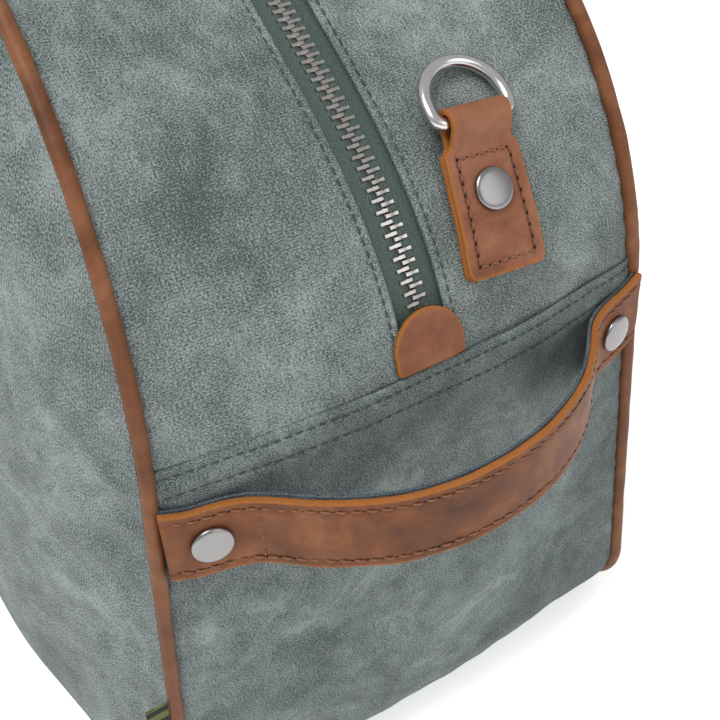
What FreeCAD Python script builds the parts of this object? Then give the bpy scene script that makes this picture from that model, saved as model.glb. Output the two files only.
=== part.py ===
import FreeCAD, Part
import os
from math import atan, cos, degrees, pi, radians, sin, sqrt

# Soft weekender bag. Origin at the bottom centre, +X along the length, -Y front, +Z up, millimetres.
# Two puffed side panels are sewn through leather piping to a gusset that goes right round the bag:
# the lower gusset makes the bottom and both ends, and two zip strips close the top.

Vector = FreeCAD.Vector

# Body of the bag
HALF_LENGTH = 250.0
HEIGHT = 342.0
TOP_RADIUS = 150.0
BOTTOM_RADIUS = 35.0
HALF_WIDTH = 112.0  # middle of the bag to the piping, at the floor
TAPER = 0.078  # how much each side leans in per unit of height
END_CROWN = 10.0  # how far each end bulges between the pipings
TOP_SAG = 18.0  # how far the zip sags below the pipings
SEAM_HEIGHT = 200.5  # where the lower gusset ends and the zip strips begin
CANVAS = 2.0
LINING = 0.8
LINING_DEPTH = 4.0  # from the outer face of the canvas to the lining
SEAM_GAP = 0.1

# Piping
PIPING_RADIUS = 2.6
FILLER_RADIUS = 1.5

# Puffed side panel: (how far out from the piping, how far in from it)
PUFF = [(PIPING_RADIUS + SEAM_GAP, 0.0), (6.0, 8.0), (14.0, 30.0), (23.0, 56.0), (30.0, 85.0)]

# Zip
ZIP_OPENING = 10.5  # middle of the zip to the folded edge of the canvas
TAPE_EDGE = 17.0
TAPE_DEPTH = 2.3
TAPE = 0.7
TEETH_HALF_WIDTH = 4.2
TEETH_SPLIT = 0.15  # the two rows stop this far each side of the zip's middle
TEETH_TOP = 1.1
TEETH_HEIGHT = 3.0
ZIP_TAB_RADIUS = 13.0
ZIP_TAB_LENGTH = 18.0
ZIP_TAB_THICK = 2.0

# Zip slider and pull
SLIDER_LENGTH = 15.0
SLIDER_HALF_WIDTH = 6.5
SLIDER_PLATE = 1.4
SLIDER_GAP = 0.4
SLIDER_PLACE = 9.0  # the two sliders meet nose to nose at the middle of the top
PULL_LENGTH = 22.0
PULL_WIDTH = 7.0
PULL_STRAP_LENGTH = 62.0

# End handles
STRAP_LOW = 160.5
STRAP_HIGH = 188.5
STRAP_LEATHER = 2.6
STRAP_BACKING = 1.0
BOW_APEX = 297.0
BOW_RADIUS = 85.0
BOW_ANGLE = 45.0
FLUSH_ANGLE = 11.0
FLUSH_RADIUS = 25.0
FLUSH_START = 255.4  # outer face of the strap where it meets the piping
RIVET_Y = 83.0

# Rivets
RIVET_RADIUS = 7.0
RIVET_HEIGHT = 2.6
RIVET_RIM = 0.8
SHANK_RADIUS = 1.6
WASHER_RADIUS = 5.0
WASHER_THICK = 1.0

# D-rings and the leather tabs that hold them
RING_WIRE = 2.25
RING_HALF_WIDTH = 14.6
RING_LEG = 6.0
RING_CORNER = 4.0
RING_LIE = 20.0  # the ring drops this many degrees to lie on the canvas
TAB_PLACE = 51.6  # path length from the corner's start to the tab's middle
TAB_Y = 35.0
TAB_TURN = 4.5
TAB_LENGTH = 42.0
TAB_WIDTH = 30.0
TAB_LEATHER = 2.2
LOOP_WIDTH = 22.5
LOOP_REACH = 25.0
LOOP_CLEARANCE = 0.45
TAB_LIFT = 0.5

# Carry handles
HANDLE_HALF_SPAN = 80.0
HANDLE_PIVOT = 248.0  # up the panel from the floor
HANDLE_TAB_LENGTH = 58.0
HANDLE_TAB_WIDTH = 32.0
HANDLE_LOOP_WIDTH = 28.0
HANDLE_RING_WIRE = 2.0
HANDLE_RING_HALF_WIDTH = 18.0
HANDLE_RING_DROP = 20.0
HANDLE_RING_CORNER = 4.0
HANDLE_RIVET_DROP = 12.0  # below the middle of the loop's reach
HANDLE_GRIP_RADIUS = 7.0
HANDLE_BEND = 55.0
HANDLE_END = (22.0, 9.0, 22.0)  # wide, thick, tall, where the grip is folded round its ring
HANDLE_END_ABOVE = 5.0  # of that height, above the end of the round grip
HANDLE_DROP = 140.0
HANDLE_LEAN = 14.0  # degrees the hanging ring stands off the panel

# Stiff board in the bottom, and the flag label in the front piped seam
BOARD = (400.0, 196.0, 1.6)
LABEL = (0.8, 8.0, 12.0)  # thick, reach, tall
LABEL_HEIGHT = 87.0

# Path of the piping from the bottom's middle to the top's middle, by length
FLOOR_END = HALF_LENGTH - BOTTOM_RADIUS
SIDE_START = FLOOR_END + BOTTOM_RADIUS * pi / 2
CORNER_START = SIDE_START + HEIGHT - TOP_RADIUS - BOTTOM_RADIUS - PIPING_RADIUS
CORNER_END = CORNER_START + TOP_RADIUS * pi / 2
TOP_MIDDLE = CORNER_END + HALF_LENGTH - TOP_RADIUS
SEAM = CORNER_START + SEAM_HEIGHT - (HEIGHT - TOP_RADIUS)
LEAN = atan(TAPER)

X_AXIS = Vector(1, 0, 0)
Y_AXIS = Vector(0, 1, 0)
Z_AXIS = Vector(0, 0, 1)
ORIGIN = Vector(0, 0, 0)


def ease(t):
    """Smooth step from 0 to 1."""
    t = min(max(t, 0.0), 1.0)
    return t * t * (3 - 2 * t)


def path(s):
    """Point of the piping's path and its outward direction at length s from the bottom's middle."""
    low = min(max((s - FLOOR_END) / BOTTOM_RADIUS, 0.0), pi / 2)
    high = min(max((s - CORNER_START) / TOP_RADIUS, 0.0), pi / 2)
    turn = low + high - pi / 2
    outward = Vector(cos(turn), 0, sin(turn))
    if s < FLOOR_END:
        return Vector(s, 0, PIPING_RADIUS), outward
    if s < SIDE_START:
        centre = Vector(FLOOR_END, 0, PIPING_RADIUS + BOTTOM_RADIUS)
        return centre + outward * BOTTOM_RADIUS, outward
    if s < CORNER_START:
        return Vector(HALF_LENGTH, 0, PIPING_RADIUS + BOTTOM_RADIUS + s - SIDE_START), outward
    if s < CORNER_END:
        centre = Vector(HALF_LENGTH - TOP_RADIUS, 0, HEIGHT - TOP_RADIUS)
        return centre + outward * TOP_RADIUS, outward
    return Vector(TOP_MIDDLE - s, 0, HEIGHT), outward


def half_width(s):
    """Distance from the bag's middle plane to the piping."""
    return HALF_WIDTH - TAPER * path(s)[0].z


def gusset_point(s, y, depth=0.0):
    """Point of the gusset: flat on the floor, bulging at the ends, sagging along the zip."""
    place, outward = path(s)
    flush = PIPING_RADIUS * (1 - ease((s - FLOOR_END) / 60))
    crown = END_CROWN * ease((s - FLOOR_END) / 90)
    crown -= (END_CROWN + TOP_SAG) * ease((s - CORNER_START + 10) / 150)
    rise = flush + crown * (1 - (y / half_width(s)) ** 2) - depth
    return place + outward * rise + Vector(0, y, 0)


def across(s, y0, y1, depth):
    """Curve over the gusset from y0 to y1, a parabola as the crown is."""
    start, middle, end = (gusset_point(s, y, depth) for y in (y0, (y0 + y1) / 2, y1))
    curve = Part.BezierCurve()
    curve.setPoles([start, middle * 2 - (start + end) * 0.5, end])
    return curve.toShape()


def strip_section(s, edges, outer, inner):
    """Section of a strip of the gusset between two widths and two depths."""
    y0, y1 = edges(s)
    top = across(s, y0, y1, outer)
    under = across(s, y0, y1, inner)
    near = Part.makeLine(gusset_point(s, y0, outer), gusset_point(s, y0, inner))
    far = Part.makeLine(gusset_point(s, y1, outer), gusset_point(s, y1, inner))
    return Part.Wire([top, far, under, near])


def strip(stations, edges, outer, inner):
    """Solid strip of the gusset lofted through its sections."""
    return Part.makeLoft([strip_section(s, edges, outer, inner) for s in stations], True, False)


def steps(start, end, count):
    return [start + (end - start) * i / count for i in range(count + 1)]


def mirrored(shape, normal):
    return shape.mirror(ORIGIN, normal)


def to_piping(s):
    """Half width of a gusset strip that stops at the piping."""
    return half_width(s) - PIPING_RADIUS - SEAM_GAP


def lower_strip(outer, inner):
    """Strip that makes the bottom and runs up both ends to the seam."""
    stations = steps(FLOOR_END, SIDE_START, 4) + steps(SIDE_START, CORNER_START, 5)[1:] + [SEAM]
    end = strip(stations, lambda s: (-to_piping(s), to_piping(s)), outer, inner)
    width = 2 * to_piping(0)
    slab = Part.makeBox(2 * FLOOR_END, width, inner - outer, Vector(-FLOOR_END, -width / 2, outer))
    return slab.fuse([end, mirrored(end, X_AXIS)]).removeSplitter()


def top_strip(y_outer, y_inner, outer, inner):
    """Strip of the front half of the top, from seam to seam: two lofted corners and a straight run."""
    stations = [SEAM + SEAM_GAP] + steps(CORNER_START + 20, CORNER_END, 8)

    def edges(s):
        return -y_outer(s), -y_inner

    corner = strip(stations, edges, outer, inner)
    middle = Part.Face(strip_section(CORNER_END, edges, outer, inner))
    middle = middle.extrude(Vector(-2 * (HALF_LENGTH - TOP_RADIUS), 0, 0))
    return middle.fuse([corner, mirrored(corner, X_AXIS)]).removeSplitter()


def outline_wire(inset, out=0.0):
    """Rounded outline of a side panel in its own plane, y = -out, inset all round."""
    top = HEIGHT / cos(LEAN) - inset
    low = PIPING_RADIUS + inset
    side = HALF_LENGTH - inset
    high_r = TOP_RADIUS - inset
    low_r = BOTTOM_RADIUS
    tip = sqrt(0.5)

    def at(x, z):
        return Vector(x, -out, z)

    def arc(cx, cz, r, sx, sz):
        ends = [at(cx + sx * r, cz), at(cx + sx * r * tip, cz + sz * r * tip), at(cx, cz + sz * r)]
        return Part.Arc(*ends).toShape()

    corners = [(1, 1, high_r, top), (-1, 1, high_r, top), (-1, -1, low_r, low), (1, -1, low_r, low)]
    arcs = [arc(sx * (side - r), z - sz * r, r, sx, sz) for sx, sz, r, z in corners]
    lines = [
        Part.makeLine(at(side, low + low_r), at(side, top - high_r)),
        Part.makeLine(at(side - high_r, top), at(-side + high_r, top)),
        Part.makeLine(at(-side, top - high_r), at(-side, low + low_r)),
        Part.makeLine(at(-side + low_r, low), at(side - low_r, low)),
    ]
    return Part.Wire([lines[0], arcs[0], lines[1], arcs[1], lines[2], arcs[2], lines[3], arcs[3]])


def on_front(shape):
    """Places a shape built in a panel's own plane on the leaning front side."""
    placed = shape.copy()
    placed.rotate(ORIGIN, X_AXIS, -degrees(LEAN))
    placed.translate(Vector(0, -HALF_WIDTH, 0))
    return placed


def panel(outer, inner):
    """Puffed side panel as a shell between two depths below its outer face."""
    skins = []
    for depth in (outer, inner):
        wires = []
        for out, inset in PUFF:
            at_seam = inset == 0
            wires.append(outline_wire(inset + depth, out if at_seam else out - depth))
        skins.append(Part.makeLoft(wires, True, False))
    return on_front(skins[0].cut(skins[1]))


def tube(route, radius, start, direction):
    """Round bar of the given radius along a closed or open route."""
    circle = Part.Wire(Part.Circle(start, direction, radius).toShape())
    return Part.Wire(route).makePipeShell([circle], True, False)


def piping():
    """Leather tube round the front panel, and the cord that fills it."""
    route = outline_wire(0.0).Edges
    start = route[0].Vertexes[0].Point
    leather = tube(route, PIPING_RADIUS, start, Z_AXIS)
    filler = tube(route, FILLER_RADIUS, start, Z_AXIS)
    return on_front(leather.cut(filler)), on_front(filler)


def rivet(place, outward, grip):
    """Dome head on the leather, shank through the layers and washer behind them."""
    rise = RIVET_HEIGHT - RIVET_RIM
    ball = (RIVET_RADIUS**2 + rise**2) / (2 * rise)
    dome = Part.makeSphere(ball, Vector(0, 0, RIVET_HEIGHT - ball))
    keep = Part.makeCylinder(2 * RIVET_RADIUS, RIVET_HEIGHT + 1, Vector(0, 0, RIVET_RIM))
    rim = Part.makeCylinder(RIVET_RADIUS, RIVET_RIM)
    shank = Part.makeCylinder(SHANK_RADIUS, grip + WASHER_THICK, Vector(0, 0, -grip - WASHER_THICK))
    washer = Part.makeCylinder(WASHER_RADIUS, WASHER_THICK, Vector(0, 0, -grip - WASHER_THICK))
    whole = dome.common(keep).fuse([rim, shank, washer]).removeSplitter()
    whole.Placement = FreeCAD.Placement(place, FreeCAD.Rotation(Z_AXIS, outward))
    return whole


def plan_point(p, depth, direction):
    """Point of a plan curve moved inwards, square to the curve's outward direction."""
    return Vector(p[0] - direction[0] * depth, p[1] - direction[1] * depth, STRAP_LOW)


def strap_plan():
    """Outer face of the end handle in plan, from the middle to the piping, as points with directions."""
    bow = radians(BOW_ANGLE)
    flush = radians(FLUSH_ANGLE)
    centre = (BOW_APEX - BOW_RADIUS, 0.0)
    marks = []
    for angle in (0.0, bow / 2, bow):
        n = (cos(angle), sin(angle))
        marks.append(((centre[0] + BOW_RADIUS * n[0], BOW_RADIUS * n[1]), n))
    edge_y = HALF_WIDTH - TAPER * STRAP_HIGH - PIPING_RADIUS - SEAM_GAP
    # Straight fall at the bow angle until the reverse arc meets the flush stretch
    (bow_x, bow_y), _ = marks[2]
    dx = FLUSH_RADIUS * (cos(flush) - cos(bow))
    dy = FLUSH_RADIUS * (sin(bow) - sin(flush))
    fall = bow_x - dx - FLUSH_START - (edge_y - bow_y - dy) * sin(flush) / cos(flush)
    run = fall / (sin(bow) - cos(bow) * sin(flush) / cos(flush))
    foot = (bow_x - run * sin(bow), bow_y + run * cos(bow))
    marks.append((foot, (cos(bow), sin(bow))))
    turn_centre = (foot[0] + FLUSH_RADIUS * cos(bow), foot[1] + FLUSH_RADIUS * sin(bow))
    for angle in ((bow + flush) / 2, flush):
        n = (cos(angle), sin(angle))
        marks.append(((turn_centre[0] - FLUSH_RADIUS * n[0], turn_centre[1] - FLUSH_RADIUS * n[1]), n))
    n = (cos(flush), sin(flush))
    marks.append(((FLUSH_START, edge_y), n))
    return marks


def strap(outer, inner):
    """Strap of the end handle between two depths below its outer face."""
    marks = strap_plan()
    sides = []
    for depth in (outer, inner):
        half = [plan_point(p, depth, n) for p, n in marks]
        other = [Vector(p.x, -p.y, p.z) for p in half]
        sides.append([
            Part.makeLine(half[6], half[5]),
            Part.Arc(half[5], half[4], half[3]).toShape(),
            Part.makeLine(half[3], half[2]),
            Part.Arc(half[2], half[0], other[2]).toShape(),
            Part.makeLine(other[2], other[3]),
            Part.Arc(other[3], other[4], other[5]).toShape(),
            Part.makeLine(other[5], other[6]),
        ])
    ends = []
    for sign in (1, -1):
        p, n = marks[6]
        a = plan_point(p, outer, n)
        b = plan_point(p, inner, n)
        ends.append(Part.makeLine(Vector(a.x, sign * a.y, a.z), Vector(b.x, sign * b.y, b.z)))
    outline = Part.Wire(Part.__sortEdges__(sides[0] + [ends[0]] + sides[1] + [ends[1]]))
    return Part.Face(outline).extrude(Vector(0, 0, STRAP_HIGH - STRAP_LOW))


def strap_rivets():
    """The two rivets of one end handle."""
    marks = strap_plan()
    (x, y), n = marks[6]
    slope = n[1] / n[0]
    grip = STRAP_LEATHER + STRAP_BACKING + CANVAS + 1.0
    rivets = []
    for sign in (1, -1):
        place = Vector(x + (y - RIVET_Y) * slope, sign * RIVET_Y, (STRAP_LOW + STRAP_HIGH) / 2)
        rivets.append(rivet(place, Vector(n[0], sign * n[1], 0), grip))
    return Part.makeCompound(rivets)


def frame_at(s, y, lift, turn=0.0):
    """Placement on the gusset: x across the bag, y up the path, z outwards, turned about z."""
    up = (gusset_point(s + 1, y) - gusset_point(s - 1, y)).normalize()
    side = (gusset_point(s, y + 1) - gusset_point(s, y - 1)).normalize()
    out = side.cross(up)
    up = out.cross(side)
    rotation = FreeCAD.Rotation(side, up, out, "ZXY")
    placement = FreeCAD.Placement(gusset_point(s, y, -lift), rotation)
    return placement.multiply(FreeCAD.Placement(ORIGIN, FreeCAD.Rotation(Z_AXIS, -turn)))


def loop_tab(length, width, neck, reach, wire, leather):
    """Leather folded double with a loop for a ring: x across, y towards the loop, z outwards."""
    thick = 2 * leather
    radius = wire + LOOP_CLEARANCE + leather
    shoulder = reach - 8.0
    plate = Part.makeBox(width, length, thick, Vector(-width / 2, shoulder - length, 0))
    neck_plate = Part.makeBox(neck, reach - shoulder, thick, Vector(-neck / 2, shoulder, 0))
    loop = Part.makeCylinder(radius, neck, Vector(-neck / 2, reach, radius), X_AXIS)
    bore = Part.makeCylinder(wire + LOOP_CLEARANCE, neck + 2, Vector(-neck / 2 - 1, reach, radius), X_AXIS)
    corners = [e for e in plate.Edges if abs(e.Length - thick) < 0.01]
    plate = plate.makeFillet(3.0, corners)
    return plate.fuse([neck_plate, loop]).removeSplitter().cut(bore)


def d_ring():
    """D-ring in its own plane: bar along x through the origin, bow towards +y."""
    w = RING_HALF_WIDTH
    r = RING_CORNER
    t = sqrt(0.5)
    route = [
        Part.makeLine(Vector(-w + r, 0, 0), Vector(w - r, 0, 0)),
        Part.Arc(Vector(w - r, 0, 0), Vector(w - r + r * t, r - r * t, 0), Vector(w, r, 0)).toShape(),
        Part.makeLine(Vector(w, r, 0), Vector(w, RING_LEG, 0)),
        Part.Arc(Vector(w, RING_LEG, 0), Vector(0, RING_LEG + w, 0), Vector(-w, RING_LEG, 0)).toShape(),
        Part.makeLine(Vector(-w, RING_LEG, 0), Vector(-w, r, 0)),
        Part.Arc(Vector(-w, r, 0), Vector(-w + r - r * t, r - r * t, 0), Vector(-w + r, 0, 0)).toShape(),
    ]
    return tube(route, RING_WIRE, Vector(-w + r, 0, 0), X_AXIS)


def ring_and_tab():
    """Right D-ring with its tab and rivet, and the point and direction of its hinge."""
    frame = frame_at(CORNER_START + TAB_PLACE, TAB_Y, TAB_LIFT, TAB_TURN)
    tab = loop_tab(TAB_LENGTH, TAB_WIDTH, LOOP_WIDTH, LOOP_REACH, RING_WIRE, TAB_LEATHER)
    tab.Placement = frame
    height = RING_WIRE + LOOP_CLEARANCE + TAB_LEATHER
    hinge = FreeCAD.Placement(Vector(0, LOOP_REACH, height), FreeCAD.Rotation(X_AXIS, -RING_LIE))
    ring = d_ring()
    ring.Placement = frame.multiply(hinge)
    outward = frame.Rotation.multVec(Z_AXIS)
    stud = rivet(frame.multVec(Vector(0, 2.0, 2 * TAB_LEATHER)), outward, 2 * TAB_LEATHER + TAB_LIFT + CANVAS)
    return tab, ring, stud, frame.multVec(Vector(0, LOOP_REACH, height)), frame.Rotation.multVec(X_AXIS)


def zip_end_tab():
    """Half-round leather tab over the end of the zip."""
    straight = ZIP_TAB_LENGTH - ZIP_TAB_RADIUS
    disc = Part.makeCylinder(ZIP_TAB_RADIUS, ZIP_TAB_THICK, Vector(0, straight, 0))
    keep = Part.makeBox(60, 40, 10, Vector(-30, straight, -1))
    block = Part.makeBox(2 * ZIP_TAB_RADIUS, straight, ZIP_TAB_THICK, Vector(-ZIP_TAB_RADIUS, 0, 0))
    tab = disc.common(keep).fuse(block).removeSplitter()
    frame = frame_at(SEAM + 10, 0, 0.35)
    tab.Placement = frame.multiply(FreeCAD.Placement(Vector(0, -8, 0), FreeCAD.Rotation()))
    return tab


def slider():
    """Right zip slider, with its nose towards the other slider: two flanged plates and the bridge."""
    top = HEIGHT - TOP_SAG
    teeth_top = top - TEETH_TOP
    teeth_low = teeth_top - TEETH_HEIGHT
    tape_top = top - TAPE_DEPTH
    tape_low = tape_top - TAPE
    x0 = SLIDER_PLACE - SLIDER_LENGTH / 2
    inner = TEETH_HALF_WIDTH + 0.5
    flange = SLIDER_HALF_WIDTH - inner

    def slab(y0, y1, z0, z1):
        return Part.makeBox(SLIDER_LENGTH, y1 - y0, z1 - z0, Vector(x0, y0, z0))

    over_teeth = teeth_top + SLIDER_GAP
    under_teeth = teeth_low - SLIDER_GAP
    upper = slab(-SLIDER_HALF_WIDTH, SLIDER_HALF_WIDTH, over_teeth, over_teeth + SLIDER_PLATE)
    lower = slab(-SLIDER_HALF_WIDTH, SLIDER_HALF_WIDTH, under_teeth - SLIDER_PLATE, under_teeth)
    for y0 in (-SLIDER_HALF_WIDTH, inner):
        upper = upper.fuse(slab(y0, y0 + flange, tape_top + SLIDER_GAP, over_teeth))
        lower = lower.fuse(slab(y0, y0 + flange, under_teeth, tape_low - SLIDER_GAP))
    plate_top = over_teeth + SLIDER_PLATE
    bridge = Part.makeBox(10, 2.4, 4.0, Vector(SLIDER_PLACE - 5, -1.2, plate_top))
    gap = Part.makeBox(6, 4, 2.4, Vector(SLIDER_PLACE - 3, -2, plate_top + 0.2))
    upper = upper.fuse(bridge).cut(gap).removeSplitter()
    return Part.makeCompound([upper, lower.removeSplitter()]), Vector(SLIDER_PLACE, 0, plate_top + 1.4)


def pull(pivot):
    """Metal pull lying flat away from the other slider, and the leather strap knotted through it."""
    pin = Part.makeCylinder(0.7, PULL_WIDTH, pivot - Vector(0, PULL_WIDTH / 2, 0), Y_AXIS)
    plate = Part.makeBox(PULL_LENGTH, PULL_WIDTH, 1.4, pivot + Vector(0, -PULL_WIDTH / 2, -0.7))
    window = Part.makeBox(8.0, 3.4, 4, pivot + Vector(-1.0, -1.7, -2))
    slot = Part.makeBox(3.0, 5.0, 4, pivot + Vector(PULL_LENGTH - 5, -2.5, -2))
    metal = plate.cut(window).cut(slot).fuse(pin).removeSplitter()
    strap_start = pivot + Vector(PULL_LENGTH - 4.6, -2.3, -0.7)
    tongue = Part.makeBox(2.2, 4.6, 1.4, strap_start)
    layers = [
        Part.makeBox(PULL_STRAP_LENGTH, 9.0, 1.2, pivot + Vector(PULL_LENGTH - 4.6, -4.5, 0.7)),
        Part.makeBox(PULL_STRAP_LENGTH, 9.0, 1.2, pivot + Vector(PULL_LENGTH - 4.6, -4.5, -1.9)),
        Part.makeBox(PULL_STRAP_LENGTH - 5, 9.0, 1.4, pivot + Vector(PULL_LENGTH + 0.4, -4.5, -0.7)),
    ]
    return metal, tongue.fuse(layers).removeSplitter()


def carry_handle():
    """Front carry handle: tabs and rivets on the panel, rings and grip that swing together."""
    face = PUFF[-1][0] + 0.1
    loop_height = HANDLE_RING_WIRE + LOOP_CLEARANCE + TAB_LEATHER
    lie = radians(HANDLE_LEAN)
    tabs = []
    studs = []
    rings = []
    for x in (-HANDLE_HALF_SPAN, HANDLE_HALF_SPAN):
        seat = FreeCAD.Placement(Vector(x, -face, HANDLE_PIVOT - LOOP_REACH), FreeCAD.Rotation(X_AXIS, 90))
        sizes = (HANDLE_TAB_LENGTH, HANDLE_TAB_WIDTH, HANDLE_LOOP_WIDTH, LOOP_REACH, HANDLE_RING_WIRE)
        tab = loop_tab(*sizes, TAB_LEATHER)
        tab.Placement = seat
        tabs.append(tab)
        head = Vector(x, -face - 2 * TAB_LEATHER, HANDLE_PIVOT - LOOP_REACH - HANDLE_RIVET_DROP)
        studs.append(rivet(head, Vector(0, -1, 0), 2 * TAB_LEATHER + 0.1 + CANVAS))
        rings.append(handle_ring(Vector(x, -face - loop_height, HANDLE_PIVOT), lie))
    pivot = Vector(0, -face - loop_height, HANDLE_PIVOT)
    low_bar = pivot + Vector(0, -sin(lie), -cos(lie)) * HANDLE_RING_DROP
    grip = handle_grip(low_bar)
    rings = Part.makeCompound(rings)
    grip = grip.cut(rings)
    pieces = [Part.makeCompound(tabs), Part.makeCompound(studs), rings, grip]
    return [on_front(piece) for piece in pieces]


def handle_ring(pivot, lie):
    """Rounded rectangular ring hanging from the tab's loop, standing off the panel."""
    w = HANDLE_RING_HALF_WIDTH
    drop = HANDLE_RING_DROP
    r = HANDLE_RING_CORNER
    t = sqrt(0.5)
    down = Vector(0, -sin(lie), -cos(lie))

    def at(x, d):
        return pivot + Vector(x, 0, 0) + down * d

    corners = [(-1, 0, 1), (1, 0, 1), (1, drop, -1), (-1, drop, -1)]
    arcs = []
    for side, d, inward in corners:
        along = at(side * (w - r), d)
        middle = at(side * (w - r + r * t), d + inward * (r - r * t))
        beyond = at(side * w, d + inward * r)
        arcs.append(Part.Arc(along, middle, beyond).toShape())
    lines = [
        Part.makeLine(at(-w + r, 0), at(w - r, 0)),
        Part.makeLine(at(w, r), at(w, drop - r)),
        Part.makeLine(at(w - r, drop), at(-w + r, drop)),
        Part.makeLine(at(-w, drop - r), at(-w, r)),
    ]
    route = [lines[0], arcs[1], lines[1], arcs[2], lines[2], arcs[3], lines[3], arcs[0]]
    return tube(route, HANDLE_RING_WIRE, at(-w + r, 0), X_AXIS)


def handle_grip(low_bar):
    """Rolled leather grip that hangs in a U between the two rings."""
    span = HANDLE_HALF_SPAN
    bend = HANDLE_BEND
    lowest = HANDLE_PIVOT - HANDLE_DROP
    y = low_bar.y - 5.0
    top = low_bar.z - 2.0
    t = sqrt(0.5)

    def at(x, z):
        return Vector(x, y, z)

    side = [
        Part.makeLine(at(span, top), at(span, lowest + bend)),
        Part.Arc(
            at(span, lowest + bend),
            at(span - bend + bend * t, lowest + bend - bend * t),
            at(span - bend, lowest),
        ).toShape(),
        Part.makeLine(at(span - bend, lowest), at(-span + bend, lowest)),
        Part.Arc(
            at(-span + bend, lowest),
            at(-span + bend - bend * t, lowest + bend - bend * t),
            at(-span, lowest + bend),
        ).toShape(),
        Part.makeLine(at(-span, lowest + bend), at(-span, top)),
    ]
    circle = Part.Wire(Part.Circle(at(span, top), Z_AXIS, HANDLE_GRIP_RADIUS).toShape())
    grip = Part.Wire(side).makePipeShell([circle], True, False)
    wide, thick, tall = HANDLE_END
    low = top + HANDLE_END_ABOVE - tall
    for x in (-span, span):
        end = Part.makeBox(wide, thick, tall, Vector(x - wide / 2, y - thick / 2 + 1.0, low))
        grip = grip.fuse(end)
    return grip.removeSplitter()


def side_label():
    """Small woven label that comes out of the front piped seam and lies on the panel's edge."""
    thick, reach, tall = LABEL
    start = Vector(HALF_LENGTH + 0.3, -reach - PIPING_RADIUS - 0.3, LABEL_HEIGHT)
    return on_front(Part.makeBox(thick, reach, tall, start))


def base_board():
    length, width, thick = BOARD
    return Part.makeBox(length, width, thick, Vector(-length / 2, -width / 2, LINING_DEPTH + LINING + 0.3))


def main():
    os.makedirs("parts", exist_ok=True)
    nodes = {}

    nodes["lower_gusset"] = lower_strip(0.0, CANVAS)
    nodes["gusset_lining"] = lower_strip(LINING_DEPTH, LINING_DEPTH + LINING)
    nodes["base_board"] = base_board()

    leather, filler = piping()
    front = {
        "panel": panel(0.0, CANVAS),
        "panel_lining": panel(LINING_DEPTH, LINING_DEPTH + LINING),
        "piping": leather,
        "piping_filler": filler,
        "zip_gusset": top_strip(to_piping, ZIP_OPENING, 0.0, CANVAS),
        "zip_lining": top_strip(to_piping, TAPE_EDGE, LINING_DEPTH, LINING_DEPTH + LINING),
        "zip_tape": top_strip(
            lambda s: TAPE_EDGE, TEETH_HALF_WIDTH + SEAM_GAP, TAPE_DEPTH, TAPE_DEPTH + TAPE
        ),
        "zip_teeth": top_strip(
            lambda s: TEETH_HALF_WIDTH, TEETH_SPLIT, TEETH_TOP, TEETH_TOP + TEETH_HEIGHT
        ),
    }
    handle_names = ("handle_tabs", "handle_tab_rivets", "handle_rings", "handle_grip")
    for name, piece in zip(handle_names, carry_handle()):
        front[name] = piece
    for name, piece in front.items():
        nodes["front_" + name] = piece
        nodes["back_" + name] = mirrored(piece, Y_AXIS)

    tab, ring, stud, hinge, hinge_axis = ring_and_tab()
    body, pivot = slider()
    metal, pull_strap = pull(pivot)
    right = {
        "end_handle": strap(0.0, STRAP_LEATHER),
        "end_handle_backing": strap(STRAP_LEATHER, STRAP_LEATHER + STRAP_BACKING),
        "end_handle_rivets": strap_rivets(),
        "d_ring_tab": tab,
        "d_ring": ring,
        "d_ring_rivet": stud,
        "zip_end_tab": zip_end_tab(),
        "zip_slider": body,
        "zip_pull": metal,
        "zip_pull_strap": pull_strap,
    }
    for name, piece in right.items():
        nodes["right_" + name] = piece
        nodes["left_" + name] = mirrored(piece, X_AXIS)

    nodes["side_label"] = side_label()

    for name, piece in nodes.items():
        if not piece.isValid():
            print("not valid:", name)
        piece.exportStep("parts/" + name + ".step")
    print("right D-ring hinge", hinge, hinge_axis)
    print("right pull pivot", pivot)


main()
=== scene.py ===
import bpy
import numpy as np
from mathutils import Matrix, Vector


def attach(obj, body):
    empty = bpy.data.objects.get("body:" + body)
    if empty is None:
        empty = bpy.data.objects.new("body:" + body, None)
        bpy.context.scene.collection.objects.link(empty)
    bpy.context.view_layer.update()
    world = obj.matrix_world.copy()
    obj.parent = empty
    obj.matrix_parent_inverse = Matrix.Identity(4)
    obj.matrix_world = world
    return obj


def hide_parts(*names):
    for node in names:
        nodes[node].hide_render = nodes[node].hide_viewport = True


# Looks of the weekender bag, in metres, in the order in which the bag is sewn together.

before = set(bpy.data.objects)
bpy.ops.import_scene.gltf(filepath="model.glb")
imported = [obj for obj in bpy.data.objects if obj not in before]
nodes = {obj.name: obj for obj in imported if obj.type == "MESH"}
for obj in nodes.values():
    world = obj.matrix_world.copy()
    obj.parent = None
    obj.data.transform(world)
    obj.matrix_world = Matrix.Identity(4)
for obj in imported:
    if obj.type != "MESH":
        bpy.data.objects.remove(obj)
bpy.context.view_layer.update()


# ---------------------------------------------------------------- the room
# A plain pale floor and a white room with two soft boxes. The camera stands off the right end of the
# bag, above its top corner, and looks down on the zip and the end handle.
FLOOR_SIZE = 8.0
CAMERA_PLACE = (0.482286, -0.161656, 0.421879)
CAMERA_TURN = 58.855  # degrees round from looking along +Y towards -X
CAMERA_DIP = 38.247
CAMERA_ROLL = -3.462
CAMERA_LENS = 55.0


def add(tree, kind, inputs=None, **settings):
    """Adds a shader node, sets its properties, and joins or fills its inputs by name or number."""
    made = tree.nodes.new("ShaderNode" + kind)
    for key, value in settings.items():
        setattr(made, key, value)
    for key, value in (inputs or {}).items():
        if isinstance(value, bpy.types.NodeSocket):
            tree.links.new(value, made.inputs[key])
        else:
            made.inputs[key].default_value = value
    return made


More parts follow.
